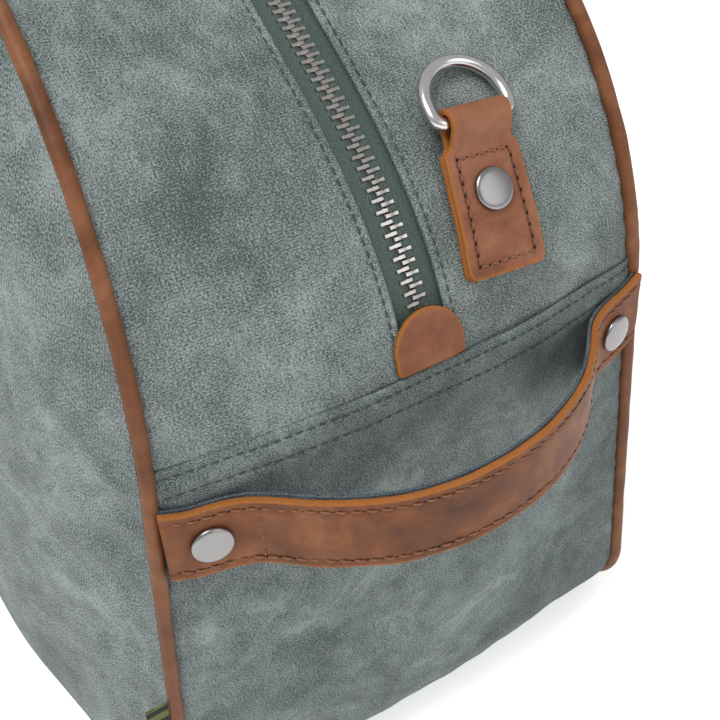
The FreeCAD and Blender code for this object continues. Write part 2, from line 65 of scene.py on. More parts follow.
def noise(tree, place, scale, detail=2.0, rough=0.5, distortion=0.0):
    """Cloudy noise, about a half on average: gives its value."""
    sizes = {"Scale": scale, "Detail": detail, "Roughness": rough, "Distortion": distortion}
    return add(tree, "TexNoise", {"Vector": place, **sizes}).outputs[0]


def blended(tree, share, first, second):
    """Colour a share of the way from the first, a socket or three numbers, to the second."""
    ends = [(*end, 1) if isinstance(end, (tuple, list)) else end for end in (first, second)]
    return add(tree, "Mix", {0: share, 6: ends[0], 7: ends[1]}, data_type="RGBA").outputs[2]


def blank_material(name):
    """New node material with its shader: gives the tree, the shader and the material."""
    material = bpy.data.materials.new(name)
    material.use_nodes = True
    tree = material.node_tree
    return tree, tree.nodes["Principled BSDF"], material


def soft_box(name, place, aim, size, power):
    """Square area light at a place, turned towards another."""
    data = bpy.data.lights.new(name, "AREA")
    data.size = size
    data.energy = power
    lamp = bpy.data.objects.new(name, data)
    lamp.location = place
    lamp.rotation_euler = (Vector(aim) - Vector(place)).to_track_quat("-Z", "Y").to_euler()
    bpy.context.scene.collection.objects.link(lamp)


def place_camera():
    """Camera turned by its turn, dip and roll: the roll is about the line of sight."""
    data = bpy.data.cameras.new("camera")
    data.lens = CAMERA_LENS
    data.sensor_width = 36.0
    camera = bpy.data.objects.new("camera", data)
    turn, dip, roll = np.radians([CAMERA_TURN, CAMERA_DIP, CAMERA_ROLL])
    ahead = Vector((-np.sin(turn) * np.cos(dip), np.cos(turn) * np.cos(dip), -np.sin(dip)))
    right = Vector((np.cos(turn), np.sin(turn), 0))
    up = right.cross(ahead)
    tilted_right = right * np.cos(roll) + up * np.sin(roll)
    tilted_up = up * np.cos(roll) - right * np.sin(roll)
    turned = Matrix((tilted_right, tilted_up, -ahead)).transposed()
    camera.matrix_world = Matrix.Translation(CAMERA_PLACE) @ turned.to_4x4()
    bpy.context.scene.collection.objects.link(camera)
    bpy.context.scene.camera = camera


def lay_floor():
    """Flat square of pale, faintly mottled board."""
    half = FLOOR_SIZE / 2
    mesh = bpy.data.meshes.new("floor")
    mesh.from_pydata(
        [(-half, -half, 0), (half, -half, 0), (half, half, 0), (-half, half, 0)], [], [(0, 1, 2, 3)]
    )
    floor = bpy.data.objects.new("floor", mesh)
    tree, shader, material = blank_material("pale_floor")
    place = add(tree, "TexCoord")
    mottle = noise(tree, place.outputs["Object"], 3.0, 4.0)
    tone = blended(tree, mottle, (0.93, 0.93, 0.925), (0.97, 0.97, 0.97))
    tree.links.new(tone, shader.inputs["Base Color"])
    shader.inputs["Roughness"].default_value = 0.7
    shader.inputs["Emission Color"].default_value = (1, 1, 1, 1)
    shader.inputs["Emission Strength"].default_value = 0.50
    mesh.materials.append(material)
    bpy.context.scene.collection.objects.link(floor)


lay_floor()
place_camera()
soft_box("key_box", (0.45, -0.65, 1.6), (0.15, 0.0, 0.2), 0.7, 15.0)
soft_box("side_box", (1.5, 0.5, 0.9), (0.2, 0.0, 0.15), 1.0, 4.0)
room = bpy.data.worlds.new("white_room")
room.use_nodes = True
room.node_tree.nodes["Background"].inputs["Color"].default_value = (1, 1, 1, 1)
room.node_tree.nodes["Background"].inputs["Strength"].default_value = 0.54
bpy.context.scene.world = room
bpy.context.scene.view_settings.view_transform = "Standard"


# ---------------------------------------------------------------- the gusset
# The gusset is the strip of waxed canvas that goes right round the bag between the two pipings. The
# lower gusset makes the bottom and both ends. Its top edges are folded under and lap over the two zip
# strips, which are folded again along the zip. All folds are held by rows of dark green topstitch.
HALF_LENGTH = 0.250
HEIGHT = 0.342
TOP_RADIUS = 0.150
BOTTOM_RADIUS = 0.035
HALF_WIDTH = 0.112
TAPER = 0.078
END_CROWN = 0.010
TOP_SAG = 0.018
PIPING_RADIUS = 0.0026
SEAM_HEIGHT = 0.2005
ZIP_OPENING = 0.0088
CANVAS = 0.0012
LAP = 0.0011  # how far the lower gusset's folded edge stands proud of the zip strips
LAP_UNDER = 0.016
SEAM_ROWS = (0.0035, 0.0108)  # topstitch rows, from the lower gusset's folded edge
ZIP_ROW = 0.0029  # topstitch row, from the zip strip's folded edge
TOPSTITCH = {"pitch": 0.0039, "thread": 0.0029, "radius": 0.00030}

FLOOR_END = HALF_LENGTH - BOTTOM_RADIUS
SIDE_START = FLOOR_END + BOTTOM_RADIUS * np.pi / 2
CORNER_START = SIDE_START + HEIGHT - TOP_RADIUS - BOTTOM_RADIUS - PIPING_RADIUS
CORNER_END = CORNER_START + TOP_RADIUS * np.pi / 2
TOP_MIDDLE = CORNER_END + HALF_LENGTH - TOP_RADIUS
SEAM = CORNER_START + SEAM_HEIGHT - (HEIGHT - TOP_RADIUS)
INSIDE = (0, 0, 0.17)


def ease(t):
    """Smooth step from 0 to 1."""
    t = np.clip(t, 0, 1)
    return t * t * (3 - 2 * t)


def gusset(t, y, lift=0.0):
    """Point of the gusset at length t round the piping from the bottom's middle (below 0 at the left end)
    and y across. The outline is straight runs and two arcs each side. The surface rises from it by a
    parabola across the width: flat on the floor, bulging at the ends, sagging along the zip."""
    s, y, lift = np.broadcast_arrays(np.abs(t), y, lift)
    low = np.clip((s - FLOOR_END) / BOTTOM_RADIUS, 0, np.pi / 2)
    high = np.clip((s - CORNER_START) / TOP_RADIUS, 0, np.pi / 2)
    turn = low + high - np.pi / 2
    x = np.minimum(s, FLOOR_END) + BOTTOM_RADIUS * np.sin(low)
    x = x - TOP_RADIUS * (1 - np.cos(high)) - np.maximum(s - CORNER_END, 0)
    z = PIPING_RADIUS + BOTTOM_RADIUS * (1 - np.cos(low)) + TOP_RADIUS * np.sin(high)
    z = z + np.clip(s - SIDE_START, 0, CORNER_START - SIDE_START)
    flush = PIPING_RADIUS * (1 - ease((s - FLOOR_END) / 0.060))
    crown = END_CROWN * ease((s - FLOOR_END) / 0.090)
    crown = crown - (END_CROWN + TOP_SAG) * ease((s - CORNER_START + 0.010) / 0.150)
    rise = flush + crown * (1 - (y / (HALF_WIDTH - TAPER * z)) ** 2) + lift
    side = np.where(np.asarray(t) < 0, -1.0, 1.0)
    return np.stack([side * (x + np.cos(turn) * rise), y, z + np.sin(turn) * rise], -1)


def to_piping(t):
    """Half width of the canvas at length t: it meets the piping's near side."""
    s = np.abs(t)
    low = np.clip((s - FLOOR_END) / BOTTOM_RADIUS, 0, np.pi / 2)
    high = np.clip((s - CORNER_START) / TOP_RADIUS, 0, np.pi / 2)
    z = PIPING_RADIUS + BOTTOM_RADIUS * (1 - np.cos(low)) + TOP_RADIUS * np.sin(high)
    z = z + np.clip(s - SIDE_START, 0, CORNER_START - SIDE_START)
    return HALF_WIDTH - TAPER * z - PIPING_RADIUS * 0.6


def gusset_out(t, y):
    """Outward direction of the gusset: square to its two slopes."""
    step = 0.0005
    along = gusset(t + step, y) - gusset(t - step, y)
    across = gusset(t, y + step) - gusset(t, y - step)
    out = np.cross(across, along)
    return out / np.linalg.norm(out, axis=-1, keepdims=True)


def ripples(points, size, seed):
    """Soft unevenness between about -1 and 1: the sum of twelve plane waves near one wavelength, each
    with its own direction and start."""
    chance = np.random.default_rng(seed)
    ways = chance.normal(size=(12, 3))
    ways = ways / np.linalg.norm(ways, axis=1, keepdims=True)
    reach = 2 * np.pi / (size * chance.uniform(0.6, 1.7, 12))
    start = chance.uniform(0, 2 * np.pi, 12)
    return np.sin(points @ (ways * reach[:, None]).T + start).mean(-1) * 2.2


def made(name, points, faces, uv, material, raw=None, inside=None):
    """Object of four-sided faces (a repeated corner makes a three-sided one), turned to look away from
    the inside point or from its own middle. uv is in metres of cloth; raw marks cut leather edges."""
    corners = points[faces]
    middle = points.mean(0) if inside is None else np.asarray(inside)
    out = np.cross(corners[:, 2] - corners[:, 0], corners[:, 3] - corners[:, 1])
    if ((corners.mean(1) - middle) * out).sum() < 0:
        faces = faces[:, [0, 3, 2, 1]]
        uv = uv[:, [0, 3, 2, 1]]
    keep = faces != np.roll(faces, 1, 1)
    sizes = keep.sum(1)
    mesh = bpy.data.meshes.new(name)
    mesh.vertices.add(len(points))
    mesh.vertices.foreach_set("co", points.astype(np.float32).ravel())
    mesh.loops.add(int(keep.sum()))
    mesh.loops.foreach_set("vertex_index", faces[keep].astype(np.int32))
    mesh.polygons.add(len(faces))
    mesh.polygons.foreach_set("loop_start", (np.cumsum(sizes) - sizes).astype(np.int32))
    mesh.update(calc_edges=True)
    mesh.uv_layers.new(name="cloth").data.foreach_set("uv", uv[keep].astype(np.float32).ravel())
    if raw is not None:
        mesh.attributes.new("raw", "FLOAT", "POINT").data.foreach_set("value", raw.astype(np.float32))
    mesh.shade_smooth()
    mesh.materials.append(material)
    piece = bpy.data.objects.new(name, mesh)
    bpy.context.scene.collection.objects.link(piece)
    return piece


def run_length(points):
    """Length along a line of points, from its first."""
    steps = np.linalg.norm(np.diff(points, axis=0), axis=1)
    return np.concatenate([[0.0], np.cumsum(steps)])


def quads(ids):
    """Four-cornered faces between neighbouring rows and columns of a grid of point numbers."""
    corners = (ids[:-1, :-1], ids[1:, :-1], ids[1:, 1:], ids[:-1, 1:])
    return np.stack(corners, -1).reshape(-1, 4)


def skin(name, grid, material, closed=False, looped=False, capped=False, raw=None, inside=None):
    """Surface over a grid of points, one row a station. closed joins each station's last point to its
    first, looped joins the last station to the first, capped ends it at the middle of each end."""
    n, m = grid.shape[:2]
    points = grid.reshape(-1, 3)
    ids = np.arange(n * m).reshape(n, m)
    marks = None if raw is None else np.broadcast_to(raw, (n, m)).ravel()
    if capped:
        points = np.concatenate([points, grid[0].mean(0)[None], grid[-1].mean(0)[None]])
        ids = np.concatenate([np.full((1, m), n * m), ids, np.full((1, m), n * m + 1)])
        if raw is not None:
            marks = np.concatenate([marks, [1.0, 1.0]])
    if looped:
        ids = np.concatenate([ids, ids[:1]])
    if closed:
        ids = np.concatenate([ids, ids[:, :1]], 1)
    along = run_length(points[ids].mean(1))
    across = run_length(points[ids[len(ids) // 2]])
    cloth = np.stack(np.broadcast_arrays(along[:, None], across[None]), -1)
    a, b = slice(None, -1), slice(1, None)
    ring = [(a, a), (b, a), (b, b), (a, b)]
    faces = np.stack([ids[c] for c in ring], -1).reshape(-1, 4)
    uv = np.stack([cloth[c] for c in ring], 2).reshape(-1, 4, 2)
    return made(name, points, faces, uv, material, marks, inside)


def thickened(piece, depth):
    """Gives a sheet its thickness, inwards from its outer face."""
    wall = piece.modifiers.new("thickness", "SOLIDIFY")
    wall.thickness = depth
    wall.offset = -1.0
    return piece


def sewn(piece, body, slot, *stood_for):
    """Says which body a piece rides on and hides the nodes it stands for. slot is not used."""
    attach(piece, body)
    if stood_for:
        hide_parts(*stood_for)
    return piece


def math(tree, operation, first, second=0.0, third=0.0):
    """One arithmetic node: gives its output."""
    return add(tree, "Math", {0: first, 1: second, 2: third}, operation=operation).outputs[0]


def swung(tree, value, gain, base):
    """A noise's swing about its average, times the gain, on top of the base."""
    return math(tree, "MULTIPLY_ADD", math(tree, "SUBTRACT", value, 0.5), gain, base)


def ranged(tree, value, low, high, to_low=0.0, to_high=1.0):
    """Value carried in a straight line from one range to another, and held at its ends."""
    ends = {1: low, 2: high, 3: to_low, 4: to_high}
    return add(tree, "MapRange", {0: value, **ends}, clamp=True).outputs[0]


def relief(tree, shader, height, strength, depth):
    """Fine bumps of a height pattern on the shader's surface."""
    bump = add(tree, "Bump", {"Height": height, "Strength": strength, "Distance": depth})
    tree.links.new(bump.outputs[0], shader.inputs["Normal"])


def waxed_canvas(name, deep, pale, chalk, yarn=0.00100):
    """Waxed canvas: a plain weave of slubby yarns by sines of the cloth's own lengths, broad mottling
    where the wax lies thick or thin, and pale chalky lines where it has cracked along old creases."""
    tree, shader, material = blank_material(name)
    place = add(tree, "TexCoord")
    spot = place.outputs["Object"]
    broad = noise(tree, spot, 17.0, 7.0, 0.66, 0.5)
    fine = noise(tree, spot, 95.0, 5.0, 0.7)
    cracked = noise(tree, spot, 14.0, 8.0, 0.68, 0.5)
    lanes = math(tree, "ABSOLUTE", math(tree, "SUBTRACT", cracked, 0.5))
    cracks = ranged(tree, lanes, 0.0, 0.022, 1.0, 0.0)
    patches = ranged(tree, broad, 0.42, 0.62, 0.0, 1.0)
    cloth = add(tree, "SeparateXYZ", {0: place.outputs["UV"]})
    wobble = noise(tree, place.outputs["UV"], 260.0, 2.0)
    shift = math(tree, "MULTIPLY", wobble, 4.0)
    per_yarn = 2 * np.pi / yarn
    warp = math(tree, "SINE", math(tree, "MULTIPLY_ADD", cloth.outputs[0], per_yarn, shift))
    weft = math(tree, "SINE", math(tree, "MULTIPLY_ADD", cloth.outputs[1], per_yarn * 0.93, shift))
    weave = math(
        tree,
        "MULTIPLY_ADD",
        math(tree, "MULTIPLY", warp, weft),
        0.5,
        math(tree, "MULTIPLY", warp, 0.32),
    )
    stretch = add(tree, "Mapping", {"Vector": place.outputs["UV"], "Scale": (1900.0, 1300.0, 1.0)})
    slub = noise(tree, stretch.outputs[0], 1.0, 2.0, 0.6)
    grit = math(tree, "SUBTRACT", slub, 0.5)
    tone = swung(tree, broad, 1.5, 0.42)
    tone = swung(tree, fine, 1.0, tone)
    tone = math(tree, "MULTIPLY_ADD", weave, 0.20, tone)
    tone = math(tree, "MULTIPLY_ADD", grit, 3.1, tone)
    dyed = blended(tree, tone, deep, pale)
    rub = math(tree, "MULTIPLY", math(tree, "MULTIPLY", cracks, patches), 0.30)
    worn = blended(tree, rub, dyed, chalk)
    tree.links.new(worn, shader.inputs["Base Color"])
    height = math(tree, "MULTIPLY_ADD", grit, 0.9, math(tree, "MULTIPLY", weave, 0.8))
    relief(tree, shader, height, 0.8, 0.00030)
    dry = ranged(tree, tone, 0.0, 1.0, 0.66, 0.9)
    tree.links.new(dry, shader.inputs["Roughness"])
    shader.inputs["Sheen Weight"].default_value = 0.05
    shader.inputs["Sheen Roughness"].default_value = 0.45
    shader.inputs["Specular IOR Level"].default_value = 0.22
    return material


upper_canvas = waxed_canvas(
    "upper_canvas", (0.060, 0.080, 0.077), (0.315, 0.360, 0.350), (0.44, 0.49, 0.475)
)
# The lower gusset's canvas is a darker copy of the upper one. This is partly darker wax and partly painted
# shade, for the ends turned away from the light and the canvas under the end straps.
lower_canvas_wax_and_painted_shade = waxed_canvas(
    "lower_canvas_wax_and_painted_shade", (0.036, 0.052, 0.052), (0.265, 0.308, 0.302), (0.42, 0.47, 0.46)
)


def from_piping(w, half=0.105):
    """Widths from one piping to the other as shares of the half width, closer together by the pipings."""
    near = 1 - np.array([0, 0.6, 1.4, 2.4, 3.6, 5.0, 7.0, 9.6]) * 0.001 / half
    return np.concatenate([-near, np.linspace(-0.88, 0.88, w), near[::-1]])


def canvas_relief(points, from_edge, t, seed):
    """How far the canvas stands off its plain shape: slack waves of two sizes, and by the piping the
    small even puckers that its seam draws in, with the canvas dipping into the seam."""
    slack = 0.0008 * ripples(points, 0.060, seed) + 0.00045 * ripples(points, 0.021, seed + 1)
    puckers = 0.00035 * np.sin(2 * np.pi * t / 0.0105 + 2 * ripples(points, 0.05, seed + 2))
    near = np.exp(-from_edge / 0.007)
    return slack * (1 - np.exp(-from_edge / 0.012)) + puckers * near - 0.0013 * np.exp(
        -from_edge / 0.0018
    )


def rolled_edge(from_fold, radius):
    """Drop of a folded edge: a quarter circle of the fold's radius."""
    inside = np.clip(1 - from_fold / radius, 0, 1)
    return -radius * (1 - np.sqrt(1 - inside**2))


def groove(distance, depth, width=0.0008):
    """Dent that a row of stitches pulls into the cloth, bell-shaped across the row."""
    return -depth * np.exp(-((distance / width) ** 2))


def lower_gusset_lift(t, y, from_edge):
    """Lift of the lower gusset: relief away from the floor, a soft fold above each bottom corner, and
    at the top the lap with its rolled edge and its two stitched grooves."""
    flat = gusset(t, y)
    s = np.abs(t)
    free = ease((s - FLOOR_END) / 0.030)
    lift = canvas_relief(flat, from_edge, t, 11) * free
    slump = np.exp(-(((s - SIDE_START - 0.028 - 0.25 * (0.1 - y)) / 0.013) ** 2))
    lift = lift - 0.0030 * slump * free * ease((y - 0.01) / 0.05) * ease(from_edge / 0.02)
    under = np.exp(-(((s - SIDE_START - 0.012 + 0.18 * (y + 0.1)) / 0.012) ** 2))
    lift = lift - 0.0022 * under * free * ease((-y - 0.02) / 0.05) * ease(from_edge / 0.02)
    to_fold = SEAM - s
    lift = lift + LAP * (1 - ease((to_fold - 0.012) / 0.010)) + rolled_edge(to_fold, 0.0009)
    for row in SEAM_ROWS:
        lift = lift + groove(to_fold - row, 0.00045)
    return lift


def lower_gusset():
    """Grid of the lower gusset: stations close together by the folds and the stitched rows."""
    top = SEAM - np.array([0, 0.2, 0.5, 0.9, 1.5, 2.2, 2.8, 3.2, 3.5, 3.9, 4.4, 5.2, 6.6, 8.2, 9.4, 10.1,
                           10.5, 10.8, 11.2, 11.8, 13, 15, 18, 21]) * 0.001
    middle = np.linspace(-top[-1] + 0.004, top[-1] - 0.004, 210)
    t = np.concatenate([-top, middle, top[::-1]])[:, None]
    share = from_piping(50)[None]
    half = to_piping(t)
    y = share * half
    return gusset(t, y, lower_gusset_lift(t, y, half - np.abs(y)))


sheet = skin("lower_gusset_canvas", lower_gusset(), lower_canvas_wax_and_painted_shade, inside=INSIDE)
sewn(thickened(sheet, CANVAS), "bag", "canvas", "lower_gusset")


def over_top(q):
    """Length round the bag for a length q from the top's middle, below 0 towards the left end."""
    return np.where(q < 0, -1.0, 1.0) * (TOP_MIDDLE - np.abs(q))


def zip_strip(side):
    """Grid of one zip strip, from its piping to its folded edge by the zip. Across it goes the relief
    with a rolled edge and, along the fold, a raised bead and a stitched groove."""
    reach = TOP_MIDDLE - SEAM + LAP_UNDER
    q = np.concatenate([np.linspace(-reach, 0, 165), np.linspace(0, reach, 165)[1:]])[:, None]
    t = over_top(q)
    half = to_piping(t)
    near_piping = np.array([0, 0.6, 1.4, 2.4, 3.6, 5.0, 7.0, 9.6]) * 0.001
    near_fold = np.array([0, 0.2, 0.5, 0.9, 1.4, 1.9, 2.4, 2.7, 2.9, 3.1, 3.4, 4.0, 5.0, 6.5, 8.5]) * 0.001
    widths = [half - near_piping, ZIP_OPENING + near_fold[::-1] + 0 * half]
    share = np.linspace(0, 1, 22)[None, 1:-1]
    widths.insert(1, widths[0][:, -1:] * (1 - share) + widths[1][:, :1] * share)
    y = np.concatenate(widths, 1)
    from_fold = y - ZIP_OPENING
    lift = canvas_relief(gusset(t, side * y), half - y, t, 31 + side) * ease(from_fold / 0.010)
    lift = lift + rolled_edge(from_fold, 0.0010) + 0.0003 * np.exp(
        -(((from_fold - 0.0015) / 0.0009) ** 2)
    )
    lift = lift + groove(from_fold - ZIP_ROW, 0.00045)
    lift = lift - 0.0004 * (1 - ease((TOP_MIDDLE - SEAM - np.abs(q) + 0.002) / 0.010))
    return gusset(t, side * y, lift)


for side, half_name in ((-1, "front"), (1, "back")):
    sheet = skin(half_name + "_zip_strip", zip_strip(side), upper_canvas, inside=INSIDE)
    sewn(thickened(sheet, 0.0016), "bag", "canvas", half_name + "_zip_gusset")


def thread_material(name, colour, light):
    """Waxed sewing thread: two-tone twist by a wave along its own length."""
    tree, shader, material = blank_material(name)
    place = add(tree, "TexCoord")
    twist = noise(tree, place.outputs["Object"], 900.0, 2.0)
    tone = blended(tree, twist, colour, light)
    tree.links.new(tone, shader.inputs["Base Color"])
    relief(tree, shader, twist, 0.4, 0.0001)
    shader.inputs["Roughness"].default_value = 0.55
    return material


def stitches(line, out, pitch, thread, radius, slant=0.0, sink=0.35):
    """Points and faces of one row of stitches along a line. Each is a short bar, six-sided, with both
    ends dipping into the cloth; slant turns each off the row, as a lockstitch lies."""
    length = run_length(line)
    count = max(1, int(length[-1] / pitch))
    centre = (np.arange(count) + 0.5) * length[-1] / count
    share = np.array([-1.0, -0.82, -0.3, 0.3, 0.82, 1.0])
    girth = radius * np.array([0.0, 0.75, 1.0, 1.0, 0.75, 0.0])
    height = radius * (1 - sink) - np.abs(share) ** 3 * radius * 1.3
    at = centre[:, None] + share * thread / 2
    spine = np.stack([np.interp(at, length, line[:, k]) for k in range(3)], -1)
    up = np.stack([np.interp(at, length, out[:, k]) for k in range(3)], -1)
    ahead = spine[:, -1:] - spine[:, :1]
    ahead = ahead / np.linalg.norm(ahead, axis=-1, keepdims=True)
    across = np.cross(ahead, up)
    spine = spine + up * height[:, None] + across * (share * slant * thread / 2)[:, None]
    turn = np.linspace(0, 2 * np.pi, 6, endpoint=False)
    ring = np.cos(turn)[:, None] * up[:, 1:5, None] + np.sin(turn)[:, None] * across[:, 1:5, None]
    body = spine[:, 1:5, None] + girth[1:5, None, None] * ring
    points = np.concatenate([body.reshape(count, 24, 3), spine[:, :1], spine[:, -1:]], 1)
    ids = np.concatenate([np.full((1, 6), 24), np.arange(24).reshape(4, 6), np.full((1, 6), 25)])
    ids = np.concatenate([ids, ids[:, :1]], 1)
    faces = quads(ids)
    faces = (faces[None] + 26 * np.arange(count)[:, None, None]).reshape(-1, 4)
    return points.reshape(-1, 3), faces


def holes(line, out, pitch, radius=0.00062):
    """Needle holes between the stitches of a row: small six-sided caps just above the leather, made dark as
    painted shade for the insides of the holes.
    """
    length = run_length(line)
    count = max(1, int(length[-1] / pitch))
    at = np.arange(count + 1) * length[-1] / count
    spot = np.stack([np.interp(at, length, line[:, k]) for k in range(3)], -1)
    up = np.stack([np.interp(at, length, out[:, k]) for k in range(3)], -1)
    ahead = np.gradient(spot, axis=0)
    ahead = ahead / np.linalg.norm(ahead, axis=-1, keepdims=True)
    across = np.cross(ahead, up)
    turn = np.linspace(0, 2 * np.pi, 6, endpoint=False)
    rim = np.cos(turn)[:, None] * ahead[:, None] + np.sin(turn)[:, None] * across[:, None]
    rim = spot[:, None] + radius * rim - 0.0002 * up[:, None]
    caps = np.concatenate(
        [rim, spot[:, None] + 0.00016 * up[:, None], spot[:, None] - 0.0006 * up[:, None]], 1
    )
    k = np.arange(6)
    near, far = k, (k + 1) % 6
    above = np.stack([near, far, 0 * k + 6, 0 * k + 6], -1)
    below = np.stack([far, near, 0 * k + 7, 0 * k + 7], -1)
    one = np.concatenate([above, below])
    faces = (one[None] + 8 * np.arange(count + 1)[:, None, None]).reshape(-1, 4)
    return caps.reshape(-1, 3), faces


def rows_together(name, rows, material):
    """One object of several rows of stitches or holes, each row's faces turned outwards."""
    points, faces, start = [], [], 0
    for row_points, row_faces in rows:
        points.append(row_points)
        faces.append(row_faces + start)
        start += len(row_points)
    points = np.concatenate(points)
    faces = np.concatenate(faces)
    return made(name, points, faces, np.zeros((*faces.shape, 2)), material)


green_thread = thread_material("green_thread", (0.010, 0.018, 0.016), (0.06, 0.09, 0.08))


def gusset_row(t, y, lift):
    """Line over the gusset with its outward directions."""
    return gusset(t, y, lift), gusset_out(t, y)


topstitch_rows = []
q = np.linspace(-(TOP_MIDDLE - SEAM - 0.001), TOP_MIDDLE - SEAM - 0.001, 900)
for side in (-1, 1):
    line, out = gusset_row(over_top(q), side * (ZIP_OPENING + ZIP_ROW), -0.00035)
    topstitch_rows.append(stitches(line, out, **TOPSTITCH))
for end in (-1, 1):
    for row in SEAM_ROWS:
        half = to_piping(SEAM - row) - 0.002
        y = np.linspace(-half, half, 260)
        t = np.full_like(y, end * (SEAM - row))
        lift = lower_gusset_lift(t, y, to_piping(t) - np.abs(y))
        line, out = gusset_row(t, y, lift)
        topstitch_rows.append(stitches(line, out, **TOPSTITCH))
sewn(rows_together("gusset_topstitch", topstitch_rows, green_thread), "bag", "canvas")


# ---------------------------------------------------------------- the lining
# Inside, a cotton lining hangs 4 mm behind the canvas, and a stiff board lies on the bottom. Both are
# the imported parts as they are, with a plain cotton cloth and a dark pressed board on them.
def plain_material(name, colour, light, scale, rough):
    """Two close tones by a fine noise, with a little of the same noise as relief."""
    tree, shader, material = blank_material(name)
    place = add(tree, "TexCoord")
    grain = noise(tree, place.outputs["Object"], scale, 4.0)
    tone = blended(tree, grain, colour, light)
    tree.links.new(tone, shader.inputs["Base Color"])
    relief(tree, shader, grain, 0.3, 0.0002)
    shader.inputs["Roughness"].default_value = rough
    return material


def finish_node(name, material):
    """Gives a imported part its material."""
    mesh = nodes[name].data
    mesh.materials.clear()
    mesh.materials.append(material)


cotton = plain_material("cotton_lining", (0.20, 0.17, 0.12), (0.34, 0.30, 0.23), 900.0, 0.9)
board = plain_material("pressed_board", (0.05, 0.045, 0.04), (0.10, 0.09, 0.08), 300.0, 0.8)
for name in (
    "gusset_lining", "front_panel_lining", "back_panel_lining", "front_zip_lining", "back_zip_lining"
):
    finish_node(name, cotton)
finish_node("base_board", board)
for name in ("front_piping_filler", "back_piping_filler"):
    finish_node(name, cotton)


# ---------------------------------------------------------------- the side panels
# Two large panels of the same waxed canvas close the front and the back. What is packed inside puffs
# them out, and the canvas falls in slack folds between the piping and the handles.
PANEL_RISE = 0.0273  # how far the panel stands out of its seam
PANEL_SHOULDER = 0.085  # it has risen that far this far in from the piping
SEAM_OUT = 0.0027
PANEL_SINK = 0.0010  # nor further inwards than this, where the lining lies
GATHER_PITCH = 0.017  # small waves where the panel is gathered into its seam
GATHER_REACH = 0.006
GATHER_DEPTH = 0.00016
PANEL_SWELL = 0.0030  # the cloth simulation moves no point further than this
TAB_HEIGHT = (0.215, 0.266)  # the handle tabs hold the panel flat over this height
TAB_REACH = (0.062, 0.098)
LEAN = np.arctan(TAPER)
PANEL_TOP = HEIGHT / np.cos(LEAN)
RINGS = 30
SQUARE = 88
LOW_CORNER = 0.3275  # middle of the small and of the large arc, as a share of the half outline
TOP_CORNER = 0.697


def half_outline(h, inset):
    """Right half of the panel's outline from the bottom's middle (0) to the top's (1), moved in from the
    piping: a floor run, a small arc, a side run, a large arc and a top run, added up in turn."""
    runs = np.array([0.175, 0.055, 0.1154, 0.1728, 0.100])
    ends = np.cumsum(runs)
    d = h * ends[-1]
    floor_run, low, side_run, high, top_run = (
        np.clip((d - end + run) / run, 0, 1) for run, end in zip(runs, ends)
    )
    low = low * np.pi / 2
    high = high * np.pi / 2
    large = TOP_RADIUS - inset
    side = PANEL_TOP - TOP_RADIUS - PIPING_RADIUS - BOTTOM_RADIUS - inset
    x = floor_run * (HALF_LENGTH - BOTTOM_RADIUS - inset) + BOTTOM_RADIUS * np.sin(low)
    x = x - large * (1 - np.cos(high)) - top_run * (HALF_LENGTH - TOP_RADIUS)
    z = PIPING_RADIUS + inset + BOTTOM_RADIUS * (1 - np.cos(low)) + side_run * side + large * np.sin(
        high
    )
    return x, z


def outline(u, inset):
    """The whole outline, u from -1 to 1 round from the top's middle by the left side to the bottom's
    middle (0) and back up by the right side: the right half and its mirror image."""
    x, z = half_outline(np.abs(u), inset)
    return np.where(u < 0, -x, x), z


def panel_out(inset):
    """How far the panel stands out at a distance in from the piping: steep at the seam, then flat."""
    share = np.clip(inset / PANEL_SHOULDER, 0, 1)
    return SEAM_OUT + PANEL_RISE * (1 - (1 - share) ** 1.35)


def on_side(x, z, out, side):
    """Point of the leaning front (side -1) or back (1) plane, standing out from it."""
    lean_z = z * np.cos(LEAN) + out * np.sin(LEAN)
    lean_y = HALF_WIDTH - z * np.sin(LEAN) + out * np.cos(LEAN)
    return np.stack(np.broadcast_arrays(x, side * lean_y, lean_z), -1)


